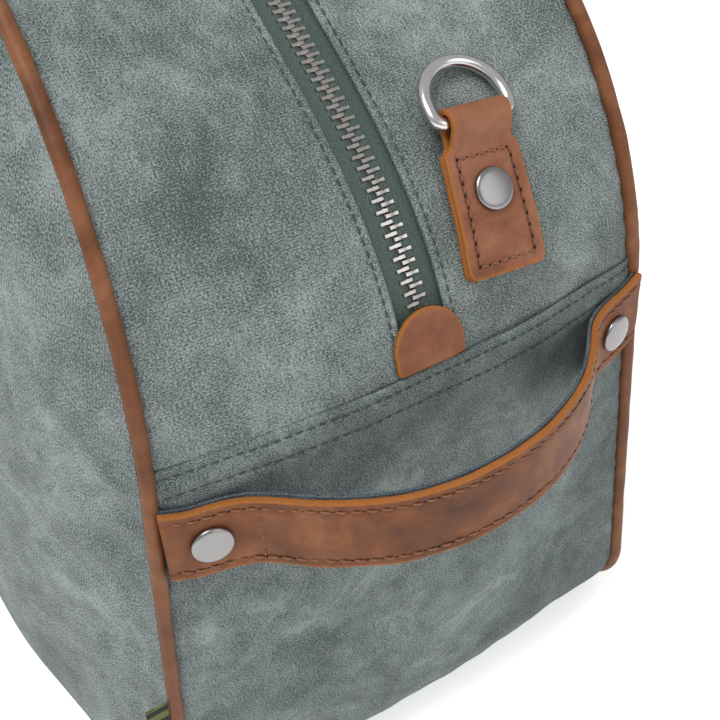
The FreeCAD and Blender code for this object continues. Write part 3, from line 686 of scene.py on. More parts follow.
def panel_plan():
    """Plan of the panel's points and faces: rings that close in from the piping, closer together near
    it, and inside the last ring a square grid stretched to the ring's shape."""
    count = 4 * SQUARE
    corners = (-TOP_CORNER, -LOW_CORNER, LOW_CORNER, TOP_CORNER, 2 - TOP_CORNER)
    u = np.interp(np.arange(count) / count, np.linspace(0, 1, 5), corners)[None]
    u = np.where(u > 1, u - 2, u)
    inset = (PANEL_SHOULDER * np.linspace(0, 1, RINGS) ** 2)[:, None]
    ring_x, ring_z = outline(u, inset)
    ring_x, ring_z = np.broadcast_arrays(ring_x, ring_z)
    # Square grid: its rim is the last ring, and each inner point is the rim point that lies the same
    # way from the middle, drawn in by its own share of the square
    a, b = np.meshgrid(np.arange(SQUARE + 1), np.arange(SQUARE + 1), indexing="ij")
    a, b = 2 * a / SQUARE - 1, 2 * b / SQUARE - 1
    share = np.maximum(np.abs(a), np.abs(b))
    wide = np.where(share > 0, np.maximum(share, 1e-9), 1)
    sa, sb = a / wide, b / wide
    low, right, high = sb < -1 + 1e-9, sa > 1 - 1e-9, sb > 1 - 1e-9
    way = np.select([low, right, high], [sa + 1, 3 + sb, 5 - sa], 7 - sb)
    place = way / 8 * count
    rim_x = np.interp(place, np.arange(count + 1), np.append(ring_x[-1], ring_x[-1, 0]))
    rim_z = np.interp(place, np.arange(count + 1), np.append(ring_z[-1], ring_z[-1, 0]))
    middle_z = (ring_z[-1].min() + ring_z[-1].max()) / 2
    square_x = rim_x * share
    square_z = middle_z + (rim_z - middle_z) * share
    inner = share < 1
    ids = np.full(a.shape, -1)
    ids[inner] = RINGS * count + np.arange(inner.sum())
    ids[~inner] = (RINGS - 1) * count + np.round(place[~inner]).astype(int) % count
    x = np.concatenate([ring_x.ravel(), square_x[inner]])
    z = np.concatenate([ring_z.ravel(), square_z[inner]])
    depth = np.concatenate(
        [np.broadcast_to(inset, ring_x.shape).ravel(), np.full(inner.sum(), PANEL_SHOULDER)]
    )
    bands = np.arange(RINGS * count).reshape(RINGS, count)
    bands = np.concatenate([bands, bands[:, :1]], 1)
    faces = [quads(g) for g in (bands, ids)]
    # The square's faces and the rings' faces turn the same way round
    turns = []
    for one in faces:
        aside, along = one[:, 1], one[:, 3]
        turn = (x[aside] - x[one[:, 0]]) * (z[along] - z[one[:, 0]])
        turns.append((turn - (z[aside] - z[one[:, 0]]) * (x[along] - x[one[:, 0]])).sum())
    if (turns[0] < 0) != (turns[1] < 0):
        faces[1] = faces[1][:, ::-1]
    return x, z, depth, np.concatenate(faces)


def canvas_panel(name, side, seed):
    """Panel before it is puffed: its plan lifted by the panel's rise, with slack waves in it."""
    x, z, depth, faces = panel_plan()
    flat = on_side(x, z, 0 * x, side)
    free = ease(depth / 0.02)
    slack = 0.0016 * free * ripples(flat, 0.110, seed)
    out = panel_out(depth) + slack + 0.0007 * free * ripples(flat, 0.045, seed + 1)
    around = np.arctan2(z - 0.17, x) * 0.22
    waves = np.sin(2 * np.pi * around / GATHER_PITCH + 3 * ripples(flat, 0.08, seed))
    gather = waves * depth / GATHER_REACH * np.exp(1 - depth / GATHER_REACH)
    out = out + GATHER_DEPTH * gather
    points = on_side(x, z, out, side)
    uv = np.stack([x, z], -1)[faces]
    return made(name, points, faces, uv, upper_canvas, inside=INSIDE), x, z, depth


def puff(piece, held):
    """Cloth simulation: slack canvas under a light pressure from within, held at its seam and under the
    handle tabs. No point moves further than the panel's swell."""
    mesh = piece.data
    start = np.zeros(len(mesh.vertices) * 3, np.float32)
    mesh.vertices.foreach_get("co", start)
    group = piece.vertex_groups.new(name="held")
    for weight in (0.5, 1.0):
        chosen = np.flatnonzero(np.abs(held - weight) < 0.25)
        group.add(chosen.tolist(), weight, "REPLACE")
    cloth = piece.modifiers.new("puff", "CLOTH")
    cloth.settings.vertex_group_mass = "held"
    cloth.settings.quality = 4
    cloth.settings.mass = 0.2
    cloth.settings.tension_stiffness = 12
    cloth.settings.compression_stiffness = 12
    cloth.settings.shear_stiffness = 4
    cloth.settings.bending_stiffness = 1.2
    cloth.settings.shrink_min = -0.012
    cloth.settings.use_pressure = True
    cloth.settings.uniform_pressure_force = 3.0
    cloth.settings.effector_weights.gravity = 0
    cloth.collision_settings.use_collision = False
    for step in range(1, 19):
        bpy.context.scene.frame_set(step)
    shown = piece.evaluated_get(bpy.context.evaluated_depsgraph_get())
    swollen = np.zeros_like(start)
    shown.data.vertices.foreach_get("co", swollen)
    piece.modifiers.remove(cloth)
    bpy.context.scene.frame_set(1)
    move = (swollen - start).reshape(-1, 3)
    size = np.linalg.norm(move, axis=1, keepdims=True)
    move = move * np.minimum(1, PANEL_SWELL / np.maximum(size, 1e-9)) * (1 - held)[:, None]
    side = np.sign(start[1::3].mean())
    move[:, 1] = side * np.maximum(side * move[:, 1], -PANEL_SINK)
    mesh.vertices.foreach_set("co", (start.reshape(-1, 3) + move).astype(np.float32).ravel())
    mesh.update()


def panel_hold(x, z, depth):
    """Share of each point that is held: all of it at the seam and under the tabs, less round them."""
    seam = 1 - ease((depth - 0.001) / 0.004)
    sideways = np.maximum(TAB_REACH[0] - np.abs(x), np.abs(x) - TAB_REACH[1])
    upright = np.maximum(TAB_HEIGHT[0] - 0.025 - z, z - TAB_HEIGHT[1])
    tabs = 1 - ease(np.maximum(sideways, upright) / 0.012)
    return np.maximum(seam, tabs)


for side, half_name, seed in ((-1, "front", 51), (1, "back", 71)):
    piece, x, z, depth = canvas_panel(half_name + "_canvas_panel", side, seed)
    puff(piece, panel_hold(x, z, depth))
    thickened(piece, CANVAS)
    sewn(piece, "bag", "canvas", half_name + "_panel")


# ---------------------------------------------------------------- the piping
# A strip of oiled leather folded round a cord and caught in the seam between each panel and the
# gusset. It is the same crazy-horse leather as the handles: brown, paler where it is bent or rubbed.
def oiled_leather(name, deep, middle, pale, raw_colour, grain=1.0):
    """Pull-up leather: cloudy browns from two noises, fine pores, faint scuffs, and on marked edges the
    fibrous orange of the cut hide, which also lightens the rubbed rim of the face."""
    tree, shader, material = blank_material(name)
    place = add(tree, "TexCoord")
    spot = place.outputs["Object"]
    cloud = noise(tree, spot, 26.0, 6.0, 0.6, 0.9)
    blotch = noise(tree, spot, 120.0, 5.0, 0.65)
    tone = swung(tree, cloud, 2.0, 0.5)
    tone = swung(tree, blotch, 0.9, tone)
    face = add(tree, "ValToRGB", {0: tone})
    ramp = face.color_ramp
    ramp.elements[0].color = (*deep, 1)
    ramp.elements[1].color = (*pale, 1)
    ramp.elements.new(0.5).color = (*middle, 1)
    scuff_way = add(
        tree, "Mapping", {"Vector": spot, "Scale": (60.0, 60.0, 420.0), "Rotation": (0.5, 0.3, 0.2)}
    )
    scuffs = noise(tree, scuff_way.outputs[0], 1.0, 5.0, distortion=0.4)
    scuffed = ranged(tree, scuffs, 0.58, 0.74, 0.0, 0.22)
    rubbed = blended(tree, scuffed, face.outputs[0], pale)
    mark = add(tree, "Attribute", attribute_name="raw")
    fibres = noise(tree, spot, 1100.0, 3.0, 0.7)
    cut = blended(tree, fibres, [c * 0.62 for c in raw_colour], [min(1, c * 1.35) for c in raw_colour])
    edge = swung(tree, blotch, 0.5, mark.outputs["Fac"])
    edge = ranged(tree, edge, 0.12, 0.85, 0.0, 1.0)
    skin_tone = blended(tree, edge, rubbed, cut)
    tree.links.new(skin_tone, shader.inputs["Base Color"])
    pores = add(tree, "TexVoronoi", {"Vector": spot, "Scale": 1300.0 / grain, "Randomness": 1.0})
    height = math(tree, "MULTIPLY_ADD", pores.outputs[0], 0.35, math(tree, "MULTIPLY", blotch, 0.8))
    height = math(tree, "MULTIPLY_ADD", math(tree, "MULTIPLY", fibres, edge), 1.2, height)
    relief(tree, shader, height, 0.5, 0.00025)
    shine = math(tree, "MULTIPLY_ADD", blotch, 0.25, math(tree, "MULTIPLY_ADD", edge, 0.25, 0.42))
    tree.links.new(shine, shader.inputs["Roughness"])
    shader.inputs["Specular IOR Level"].default_value = 0.28
    return material


RAW_TAN = (0.34, 0.120, 0.027)
piping_leather = oiled_leather(
    "piping_leather", (0.075, 0.024, 0.009), (0.155, 0.055, 0.020), (0.250, 0.105, 0.045), RAW_TAN
)


def tube(path, radius, up, sides=16, looped=False, flat=None, square=2.0):
    """Bar along a path: at each station an oval (or with square over 2 a rounded box) of half width
    flat and half height radius, square to the path, up being its height."""
    if looped:
        ahead = np.roll(path, -1, 0) - np.roll(path, 1, 0)
    else:
        ahead = np.gradient(path, axis=0)
    ahead = ahead / np.linalg.norm(ahead, axis=1, keepdims=True)
    up = np.broadcast_to(np.asarray(up, float), path.shape)
    up = up - (up * ahead).sum(1, keepdims=True) * ahead
    up = up / np.linalg.norm(up, axis=1, keepdims=True)
    side = np.cross(ahead, up)
    turn = np.linspace(0, 2 * np.pi, sides, endpoint=False)
    high, wide = (np.sign(f(turn)) * np.abs(f(turn)) ** (2 / square) for f in (np.cos, np.sin))
    radius = np.broadcast_to(radius, len(path))[:, None, None]
    half = radius if flat is None else np.broadcast_to(flat, len(path))[:, None, None]
    return path[:, None] + radius * high[:, None] * up[:, None] + half * wide[:, None] * side[:, None]


def piping_tube(side, seed):
    """Grid of the piping: a round bar along the panel's outline, a little uneven, with short creases
    across it where the leather is drawn round the corners."""
    u = np.linspace(-1, 1, 640, endpoint=False)
    x, z = outline(u, 0.0)
    path = on_side(x, z, 0 * x, side)
    up = on_side(0.0, 0.0, 1.0, side) - on_side(0.0, 0.0, 0.0, side)
    grid = tube(path, PIPING_RADIUS, up, sides=20, looped=True)
    length = np.linspace(0, 1.53, 640, endpoint=False)[:, None]
    creased = np.sin(2 * np.pi * length / 0.0062 + 4 * ripples(grid, 0.03, seed))
    swell = 0.00016 * ripples(grid, 0.016, seed + 1) + 0.00006 * creased * ease(
        ripples(grid, 0.09, seed + 2)
    )
    away = grid - path[:, None]
    return path[:, None] + away * (1 + swell[..., None] / PIPING_RADIUS)


for side, half_name, seed in ((-1, "front", 91), (1, "back", 95)):
    grid = piping_tube(side, seed)
    marks = np.clip(0.06 + 0.06 * ripples(grid, 0.05, seed), 0, 1)
    piece = skin(half_name + "_piping_cover", grid, piping_leather, closed=True, looped=True, raw=marks)
    sewn(piece, "bag", "leather", half_name + "_piping")


# ---------------------------------------------------------------- the zip
# A heavy metal zip closes the top from seam to seam: two dark green herringbone tapes, each with a row
# of nickel teeth clamped on its edge. The two rows lock into each other by half a tooth's pitch.
TAPE_DEPTH = 0.0023
TAPE = 0.0006
TOOTH_PITCH = 0.0037
TOOTH_TOP = 0.0011
TOOTH_HEIGHT = 0.0026


def herringbone_tape():
    """Woven tape: diagonal ribs that change direction every two millimetres across the tape."""
    tree, shader, material = blank_material("zip_tape_weave")
    place = add(tree, "TexCoord")
    cloth = add(tree, "SeparateXYZ", {0: place.outputs["UV"]})
    saw = math(tree, "PINGPONG", cloth.outputs[1], 0.0021)
    diagonal = math(tree, "MULTIPLY_ADD", saw, 1.6, cloth.outputs[0])
    rib = math(tree, "SINE", math(tree, "MULTIPLY", diagonal, 2 * np.pi / 0.00095))
    rib = math(tree, "MULTIPLY_ADD", rib, 0.5, 0.5)
    fleck = noise(tree, place.outputs["UV"], 900.0, 2.0)
    tone = swung(tree, fleck, 0.5, math(tree, "MULTIPLY", rib, 0.8))
    dyed = blended(tree, tone, (0.008, 0.020, 0.017), (0.135, 0.190, 0.170))
    tree.links.new(dyed, shader.inputs["Base Color"])
    relief(tree, shader, rib, 0.6, 0.0002)
    shader.inputs["Roughness"].default_value = 0.7
    return material


def nickel(name, tone, rough, brushed=0.0):
    """Nickel plate: a metal of one tone, its gloss broken by fine smears and, if brushed, by lines."""
    tree, shader, material = blank_material(name)
    place = add(tree, "TexCoord")
    smear = noise(tree, place.outputs["Object"], 320.0, 4.0)
    lines_way = add(
        tree, "Mapping", {"Vector": place.outputs["Object"], "Scale": (250.0, 5200.0, 250.0)}
    )
    lines = noise(tree, lines_way.outputs[0], 1.0, 2.0)
    gloss = ranged(tree, smear, 0.0, 1.0, rough * 0.75, rough * 1.35)
    tree.links.new(gloss, shader.inputs["Roughness"])
    shade = blended(tree, smear, [c * 0.88 for c in tone], tone)
    tree.links.new(shade, shader.inputs["Base Color"])
    if brushed:
        relief(tree, shader, lines, brushed, 0.00006)
    shader.inputs["Metallic"].default_value = 1.0
    return material


tape_weave = herringbone_tape()
teeth_nickel = nickel("teeth_nickel", (0.52, 0.50, 0.48), 0.26)
# This nickel's tone is much darker than the other nickel's. It is a painted dark reflection on the rivets,
# the zip slider and the pull, standing in for the dark surroundings they would mirror.
brushed_nickel_painted_dark_reflection = nickel("brushed_nickel_painted_dark_reflection", (0.31, 0.30, 0.30), 0.25, brushed=0.25)
polished_nickel = nickel("polished_nickel", (0.66, 0.655, 0.65), 0.18)


def zip_tape_strip(side):
    """Grid of one tape: flat across, from under the canvas to the roots of the teeth."""
    reach = TOP_MIDDLE - SEAM + 0.010
    q = np.linspace(-reach, reach, 340)[:, None]
    y = side * np.linspace(0.0004, 0.0165, 18)[None]
    bead = 0.0007 * np.exp(-(((np.abs(y) - 0.0034) / 0.0011) ** 2))
    return gusset(over_top(q), y, bead - TAPE_DEPTH)


def tooth_shape():
    """One tooth along its own length: an eight-sided bar at five stations, narrow at its tip, full at
    its head, waisted behind it and full again over the tape. Local x along the zip, y across, z out."""
    reach = np.array([-0.0011, -0.0008, 0.0013, 0.0019, 0.0037, 0.0040])
    wide = np.array([0.00060, 0.00084, 0.00086, 0.00070, 0.00090, 0.00070])
    high = np.array([0.0007, 0.00115, 0.0013, 0.0011, 0.0013, 0.0009])
    turn = np.radians(np.arange(8) * 45.0 + 22.5)
    x = wide[:, None] * np.sign(np.cos(turn)) * np.abs(np.cos(turn)) ** 0.5
    z = high[:, None] * np.sign(np.sin(turn)) * np.abs(np.sin(turn)) ** 0.5
    y = np.broadcast_to(reach[:, None], x.shape)
    points = np.stack([x, y, z], -1).reshape(-1, 3)
    count = len(reach)
    tips = np.array([[0, reach[0] - 0.0001, 0], [0, reach[-1] + 0.0001, 0]])
    near, far = np.full((1, 8), 8 * count), np.full((1, 8), 8 * count + 1)
    ids = np.concatenate([near, np.arange(8 * count).reshape(count, 8), far])
    ids = np.concatenate([ids, ids[:, :1]], 1)
    faces = quads(ids)
    return np.concatenate([points, tips]), faces


def teeth_row(side):
    """Row of teeth on one side: the tooth's shape set at every pitch along the zip, in the frame of
    the zip's direction, across it and outwards."""
    shape, faces = tooth_shape()
    reach = TOP_MIDDLE - SEAM + 0.004
    start = 0.0 if side < 0 else TOOTH_PITCH / 2
    q = np.arange(-int(reach / TOOTH_PITCH), int(reach / TOOTH_PITCH)) * TOOTH_PITCH + start
    spot = gusset(over_top(q), 0.0, -TOOTH_TOP - TOOTH_HEIGHT / 2)
    ahead = gusset(over_top(q + 0.0005), 0.0) - gusset(over_top(q - 0.0005), 0.0)
    ahead = ahead / np.linalg.norm(ahead, axis=1, keepdims=True)
    across = np.array([0.0, float(side), 0.0])
    out = np.cross(ahead, np.array([0.0, -1.0, 0.0]))
    out = out * np.sign(out[:, 2:] + 1e-9)
    points = spot[:, None] + ahead[:, None] * shape[None, :, :1] + out[:, None] * shape[None, :, 2:]
    points = points + across * shape[None, :, 1:2]
    faces = (faces[None] + len(shape) * np.arange(len(q))[:, None, None]).reshape(-1, 4)
    return points.reshape(-1, 3), faces


for side, half_name in ((-1, "front"), (1, "back")):
    piece = skin(half_name + "_tape", zip_tape_strip(side), tape_weave, inside=INSIDE)
    sewn(thickened(piece, TAPE), "bag", "zip_tape", half_name + "_zip_tape")
    piece = rows_together(half_name + "_teeth", [teeth_row(side)], teeth_nickel)
    edges = piece.modifiers.new("edges", "EDGE_SPLIT")
    edges.split_angle = np.radians(38)
    sewn(piece, "bag", "nickel", half_name + "_zip_teeth")
for name in ("zip_slider", "zip_pull"):
    finish_node("right_" + name, brushed_nickel_painted_dark_reflection)
    finish_node("left_" + name, brushed_nickel_painted_dark_reflection)


# ---------------------------------------------------------------- the zip's end tabs
# A half-round of thick leather covers each end of the zip. It has no stitches of its own: its straight
# edge is caught under the lower gusset's fold, and its cut edge shows orange all round.
END_TAB_RADIUS = 0.013
END_TAB_REACH = 0.018
END_TAB_THICK = 0.0020
END_TAB_PLACE = SEAM + 0.010
END_TAB_LOW = -0.0095  # its straight edge, tucked under the fold

handle_leather = oiled_leather(
    "handle_leather", (0.060, 0.018, 0.006), (0.145, 0.045, 0.014), (0.270, 0.105, 0.038), RAW_TAN
)
tab_leather = oiled_leather(
    "tab_leather", (0.120, 0.038, 0.017), (0.225, 0.082, 0.041), (0.320, 0.140, 0.076), RAW_TAN
)


def seat(s, y, lift, turn=0.0):
    """Place on the right end's gusset and its three directions: across towards the back, up the path
    and outwards, the first two turned clockwise by an angle."""
    up = gusset(s + 0.001, y) - gusset(s - 0.001, y)
    side = gusset(s, y + 0.001) - gusset(s, y - 0.001)
    up = up / np.linalg.norm(up)
    side = side / np.linalg.norm(side)
    out = np.cross(side, up)
    side = np.cross(up, out)
    c, d = np.cos(np.radians(turn)), np.sin(np.radians(turn))
    return gusset(s, y, lift), np.array([side * c - up * d, side * d + up * c, out])


def seated(local, place, ways, end=1):
    """Points of a piece's own space put in its seat, mirrored to the left end when end is -1."""
    points = place + local @ ways
    return points * np.array([end, 1, 1])


def end_tab():
    """Grid of the half-round tab and its cut-edge marks: rings from the middle of its face out to the
    rim, down the wall and in again below. The rim is a half circle on a short straight-sided foot."""
    turn = np.linspace(0, np.pi, 40)
    foot = END_TAB_REACH - END_TAB_RADIUS - 0.008
    arc = np.stack([END_TAB_RADIUS * np.cos(turn), foot + END_TAB_RADIUS * np.sin(turn)], -1)
    base = np.stack(
        [np.linspace(-END_TAB_RADIUS, END_TAB_RADIUS, 22)[1:-1], np.full(20, END_TAB_LOW)], -1
    )
    left = np.stack([np.full(6, -END_TAB_RADIUS), np.linspace(foot, END_TAB_LOW, 8)[1:-1]], -1)
    right = left[::-1] * [-1, 1]
    rim = np.concatenate([arc, left, base, right])
    middle = np.array([0.0, 0.0])
    share = np.array(
        [0.06, 0.2, 0.4, 0.6, 0.78, 0.88, 0.94, 0.975, 0.993, 1, 1, 0.993, 0.975, 0.9, 0.5, 0.06]
    )
    height = np.array([1, 1, 1, 1, 1, 1, 0.985, 0.95, 0.86, 0.70, 0.25, 0.10, 0.03, 0, 0, 0]) * END_TAB_THICK
    flat = middle + (rim - middle)[None] * share[:, None, None]
    sag = -(flat**2).sum(-1) / (2 * 0.16)
    dent = 0.00025 * ripples(np.dstack([flat, 0 * flat[..., :1]]), 0.012, 7)
    local = np.dstack([flat, (height[:, None] + sag + dent)[..., None]])
    marks = np.array([0, 0, 0, 0, 0.0, 0.10, 0.32, 0.75, 1, 1, 1, 1, 1, 0.8, 0.6, 0.6])[:, None]
    return local, marks


for end, end_name in ((1, "right"), (-1, "left")):
    local, marks = end_tab()
    place, ways = seat(END_TAB_PLACE, 0.0, 0.0004)
    piece = skin(
        end_name + "_half_round",
        seated(local, place, ways, end),
        tab_leather,
        closed=True,
        capped=True,
        raw=marks,
    )
    sewn(piece, "bag", "leather", end_name + "_zip_end_tab")


# ---------------------------------------------------------------- the end handles
# A leather strap on a canvas backing bows out from each end for the hand. It is stitched along both
# edges and across near each end, tucked into the piped seams and held by two dome rivets.
STRAP_MIDDLE = 0.1745
STRAP_HALF = 0.0140
STRAP_LEATHER = 0.0026
STRAP_BACKING = 0.0010
BOW_APEX = 0.297
# length, heading
STRAP_TURNS = ((0.0, 0.0), (0.06676, 45.0), (0.07667, 45.0), (0.09150, 11.0), (0.1090, 11.0))
STRAP_RIVET = 0.0830
STRAP_ROW = 0.0032  # stitched rows, in from the strap's edges
CROSS_ROW = 0.0685
STRAP_ASKEW = 0.0030  # higher at the back rivet, lower at the front one
STRAP_SAG = 0.0014
STRAP_LOW = 0.0006
STRAP_LIFT = 0.0036  # where it goes into the piped seams
LEATHER_STITCH = {"pitch": 0.0046, "thread": 0.0036, "radius": 0.00042, "slant": 0.16}
RIVET_RADIUS = 0.0070
RIVET_HEIGHT = 0.0026

brown_thread = thread_material("brown_thread", (0.10, 0.034, 0.014), (0.30, 0.125, 0.052))
# The needle holes' near-black colour is painted shade: the shade that falls inside the holes.
needle_hole_painted_shade = plain_material("needle_hole_painted_shade", (0.010, 0.005, 0.003), (0.022, 0.010, 0.006), 800.0, 0.9)
navy_canvas = waxed_canvas(
    "navy_canvas", (0.030, 0.045, 0.055), (0.150, 0.185, 0.205), (0.30, 0.34, 0.36)
)


def strap_line():
    """Plan of the handle's outer face from one piping to the other: the heading turns steadily along
    the bow, holds, turns back to lie flush, and the places are the headings added up."""
    length = np.linspace(0, STRAP_TURNS[-1][0], 500)
    heading = np.radians(np.interp(length, *zip(*STRAP_TURNS)))
    step = length[1]
    y = np.concatenate([[0], np.cumsum(np.cos(heading[:-1]) * step)])
    x = BOW_APEX - np.concatenate([[0], np.cumsum(np.sin(heading[:-1]) * step)])
    whole = np.concatenate([-length[:0:-1], length])
    return whole, np.concatenate([x[:0:-1], x]), np.concatenate([-y[:0:-1], y]), np.concatenate(
        [-heading[:0:-1], heading]
    )


def strap_at(length, depth=0.0, height=0.0):
    """Points and outward directions of the handle at lengths from its middle, below its outer face."""
    whole, x, y, heading = strap_line()
    turn = np.interp(length, whole, heading)
    out = np.stack([np.cos(turn), np.sin(turn), 0 * turn], -1)
    place = np.stack(
        [np.interp(length, whole, x), np.interp(length, whole, y), STRAP_MIDDLE + height + 0 * turn], -1
    )
    return place - depth * out, out


def strap_length_at(y):
    """Length along the handle of a given y."""
    whole, _, line_y, _ = strap_line()
    return np.interp(y, line_y, whole)


FACE = np.array([-1, -0.965, -0.92, -0.87, -0.82, -0.79, -0.77, -0.75, -0.72, -0.66, -0.5, -0.25])


def leather_bar(centre, side, out, half_width, half_thick, edge=0.0007, row=None, wear=0.55):
    """Grid of a flat strip along a path, with its cut-edge marks: a bar with rounded, slightly bulging
    edges and, on its face, a dent along each stitched row. side and out are its two directions."""
    face = np.concatenate([FACE, [0], -FACE[::-1]])
    bend = np.radians([62, 35, 10, -10, -35, -62])
    ex, tz = np.cos(bend) ** 0.6, np.sign(bend) * np.abs(np.sin(bend)) ** 0.6
    across = np.concatenate([face, np.ones(6), face[::-1], -np.ones(6)])
    bulge = np.concatenate([0 * face, ex, 0 * face, -ex[::-1]])
    height = np.concatenate([0 * face + 1, tz, 0 * face - 1, tz[::-1]])
    half_width = np.broadcast_to(half_width, len(centre))[:, None]
    sideways = across * (half_width - edge) + bulge * edge
    upward = height * half_thick + 0 * sideways
    from_edge = half_width - np.abs(sideways)
    top = height > 0.99
    if row is not None:
        upward = upward + np.where(top, groove(from_edge - row, 0.00035), 0)
    upward = upward - np.where(np.abs(height) > 0.99, 0.00025 * np.exp(-from_edge / 0.0009), 0)
    marks = np.where(np.abs(height) > 0.99, wear * np.exp(-from_edge / 0.0011), 1.0)
    marks = np.where(height < -0.99, 0.75, marks)
    grid = centre[:, None] + side[:, None] * sideways[..., None] + out[:, None] * upward[..., None]
    return grid, marks


def dome(place, out, radius=RIVET_RADIUS, height=RIVET_HEIGHT):
    """Grid of a rivet's head: a low dome with a rounded rim, turned round its outward direction."""
    share = np.array(
        [0.04, 0.2, 0.38, 0.55, 0.70, 0.82, 0.90, 0.955, 0.985, 1.0, 1.0, 0.985, 0.95, 0.5, 0.05]
    )
    rise = np.array([1, 0.995, 0.98, 0.95, 0.905, 0.85, 0.785, 0.70, 0.61, 0.49, 0.22, 0.10, 0, 0, 0])
    rise = rise * height
    out = out / np.linalg.norm(out)
    first = np.cross(out, [0.0, 0.0, 1.0])
    first = first / np.linalg.norm(first)
    second = np.cross(out, first)
    turn = np.linspace(0, 2 * np.pi, 40, endpoint=False)
    ring = np.cos(turn)[:, None] * first + np.sin(turn)[:, None] * second
    return place + radius * share[:, None, None] * ring[None] + rise[:, None, None] * out


def strap_bends(length, y):
    """Rise of the handle along itself: sewn in a little askew, higher at the back, sagging just inside
    its rivets, lifted where it goes into the seams, and waving a little between."""
    askew = STRAP_ASKEW * y / STRAP_RIVET
    sag = -STRAP_SAG * np.exp(-(((np.abs(y) - 0.073) / 0.014) ** 2)) - STRAP_LOW
    lifted = STRAP_LIFT * ease((np.abs(y) - 0.086) / 0.016)
    return askew + sag + lifted + 0.0005 * np.sin(2 * np.pi * length / 0.093 + 0.6)


def end_handle(end, end_name):
    """Leather, backing, thread, holes and rivets of one end handle."""
    turned = np.array([end, 1, 1])
    length = np.linspace(-STRAP_TURNS[-1][0], STRAP_TURNS[-1][0], 200)
    centre, out = strap_at(length, STRAP_LEATHER / 2)
    centre[:, 2] += strap_bends(length, centre[:, 1])
    up = np.broadcast_to([0.0, 0.0, 1.0], centre.shape)
    grid, marks = leather_bar(centre, up, out, STRAP_HALF, STRAP_LEATHER / 2, row=STRAP_ROW)
    grid = grid + out[:, None] * 0.00025 * ripples(grid, 0.020, 201 + end)[..., None]
    piece = skin(
        end_name + "_handle_strap", grid * turned, handle_leather, closed=True, capped=True, raw=marks
    )
    sewn(piece, "bag", "leather", end_name + "_end_handle")

    centre, out = strap_at(length, STRAP_LEATHER + STRAP_BACKING / 2)
    centre[:, 2] += strap_bends(length, centre[:, 1]) + 0.0003
    grid, _ = leather_bar(centre, up, out, STRAP_HALF + 0.0004, STRAP_BACKING / 2, edge=0.0004)
    piece = skin(end_name + "_handle_backing", grid * turned, navy_canvas, closed=True, capped=True)
    sewn(piece, "bag", "backing", end_name + "_end_handle_backing")

    rows, hole_rows = [], []
    reach = strap_length_at(HALF_WIDTH - TAPER * STRAP_MIDDLE - 0.004)
    for sign in (-1, 1):
        run = np.linspace(-reach, reach, 400)
        line, out = strap_at(run, 0.00022, sign * (STRAP_HALF - STRAP_ROW))
        line[:, 2] += strap_bends(run, line[:, 1])
        rows.append(stitches(line * turned, out * turned, **LEATHER_STITCH))
        hole_rows.append(holes(line * turned, out * turned, LEATHER_STITCH["pitch"]))
        height = np.linspace(-(STRAP_HALF - STRAP_ROW), STRAP_HALF - STRAP_ROW, 30)
        line, out = strap_at(np.full(30, sign * strap_length_at(CROSS_ROW)), 0.00005)
        line[:, 2] += height + strap_bends(strap_length_at(line[:, 1]), line[:, 1])
        rows.append(stitches(line * turned, out * turned, pitch=0.0036, thread=0.0026, radius=0.00036))
        hole_rows.append(holes(line * turned, out * turned, 0.0036, 0.0005))
    sewn(rows_together(end_name + "_handle_stitches", rows, brown_thread), "bag", "leather")
    sewn(rows_together(end_name + "_handle_holes", hole_rows, needle_hole_painted_shade), "bag", "leather")

    for sign, side_name in ((-1, "front"), (1, "back")):
        spot = np.array([sign * strap_length_at(STRAP_RIVET)])
        place, out = strap_at(spot, 0.0001, strap_bends(spot, sign * STRAP_RIVET))
        head = skin(f"{end_name}_{side_name}_handle_rivet", dome(place[0] * turned, out[0] * turned),
                    brushed_nickel_painted_dark_reflection, closed=True, capped=True)
        sewn(head, "bag", "nickel", end_name + "_end_handle_rivets")


end_handle(1, "right")
end_handle(-1, "left")


# ---------------------------------------------------------------- the D-rings and their tabs
# Beside the zip at each end a leather tab is folded round the bar of a steel D-ring for the shoulder
# strap. The folded leather is stitched all round and riveted through the canvas.
TAB_SEAT = (CORNER_START + 0.0516, 0.035, 0.0005, 4.5)  # path length, y, lift, turn
TAB_LEATHER = 0.0022
TAB_LOW = -0.025
TAB_SHOULDER = 0.0165
TAB_HALF = (0.0152, 0.0139)  # at its foot and at its shoulders
NECK_HALF = 0.01125
LOOP_REACH = 0.025
LOOP_CLEARANCE = 0.00045
RING_WIRE = 0.00225
RING_HALF = 0.0146
RING_LEG = 0.006
RING_CORNER = 0.004
RING_LIE = 20.0
TAB_RIVET = 0.002
TAB_STITCH = {"pitch": 0.0037, "thread": 0.0026, "radius": 0.00045, "slant": 0.12}
FOOT_CORNER = 0.0035


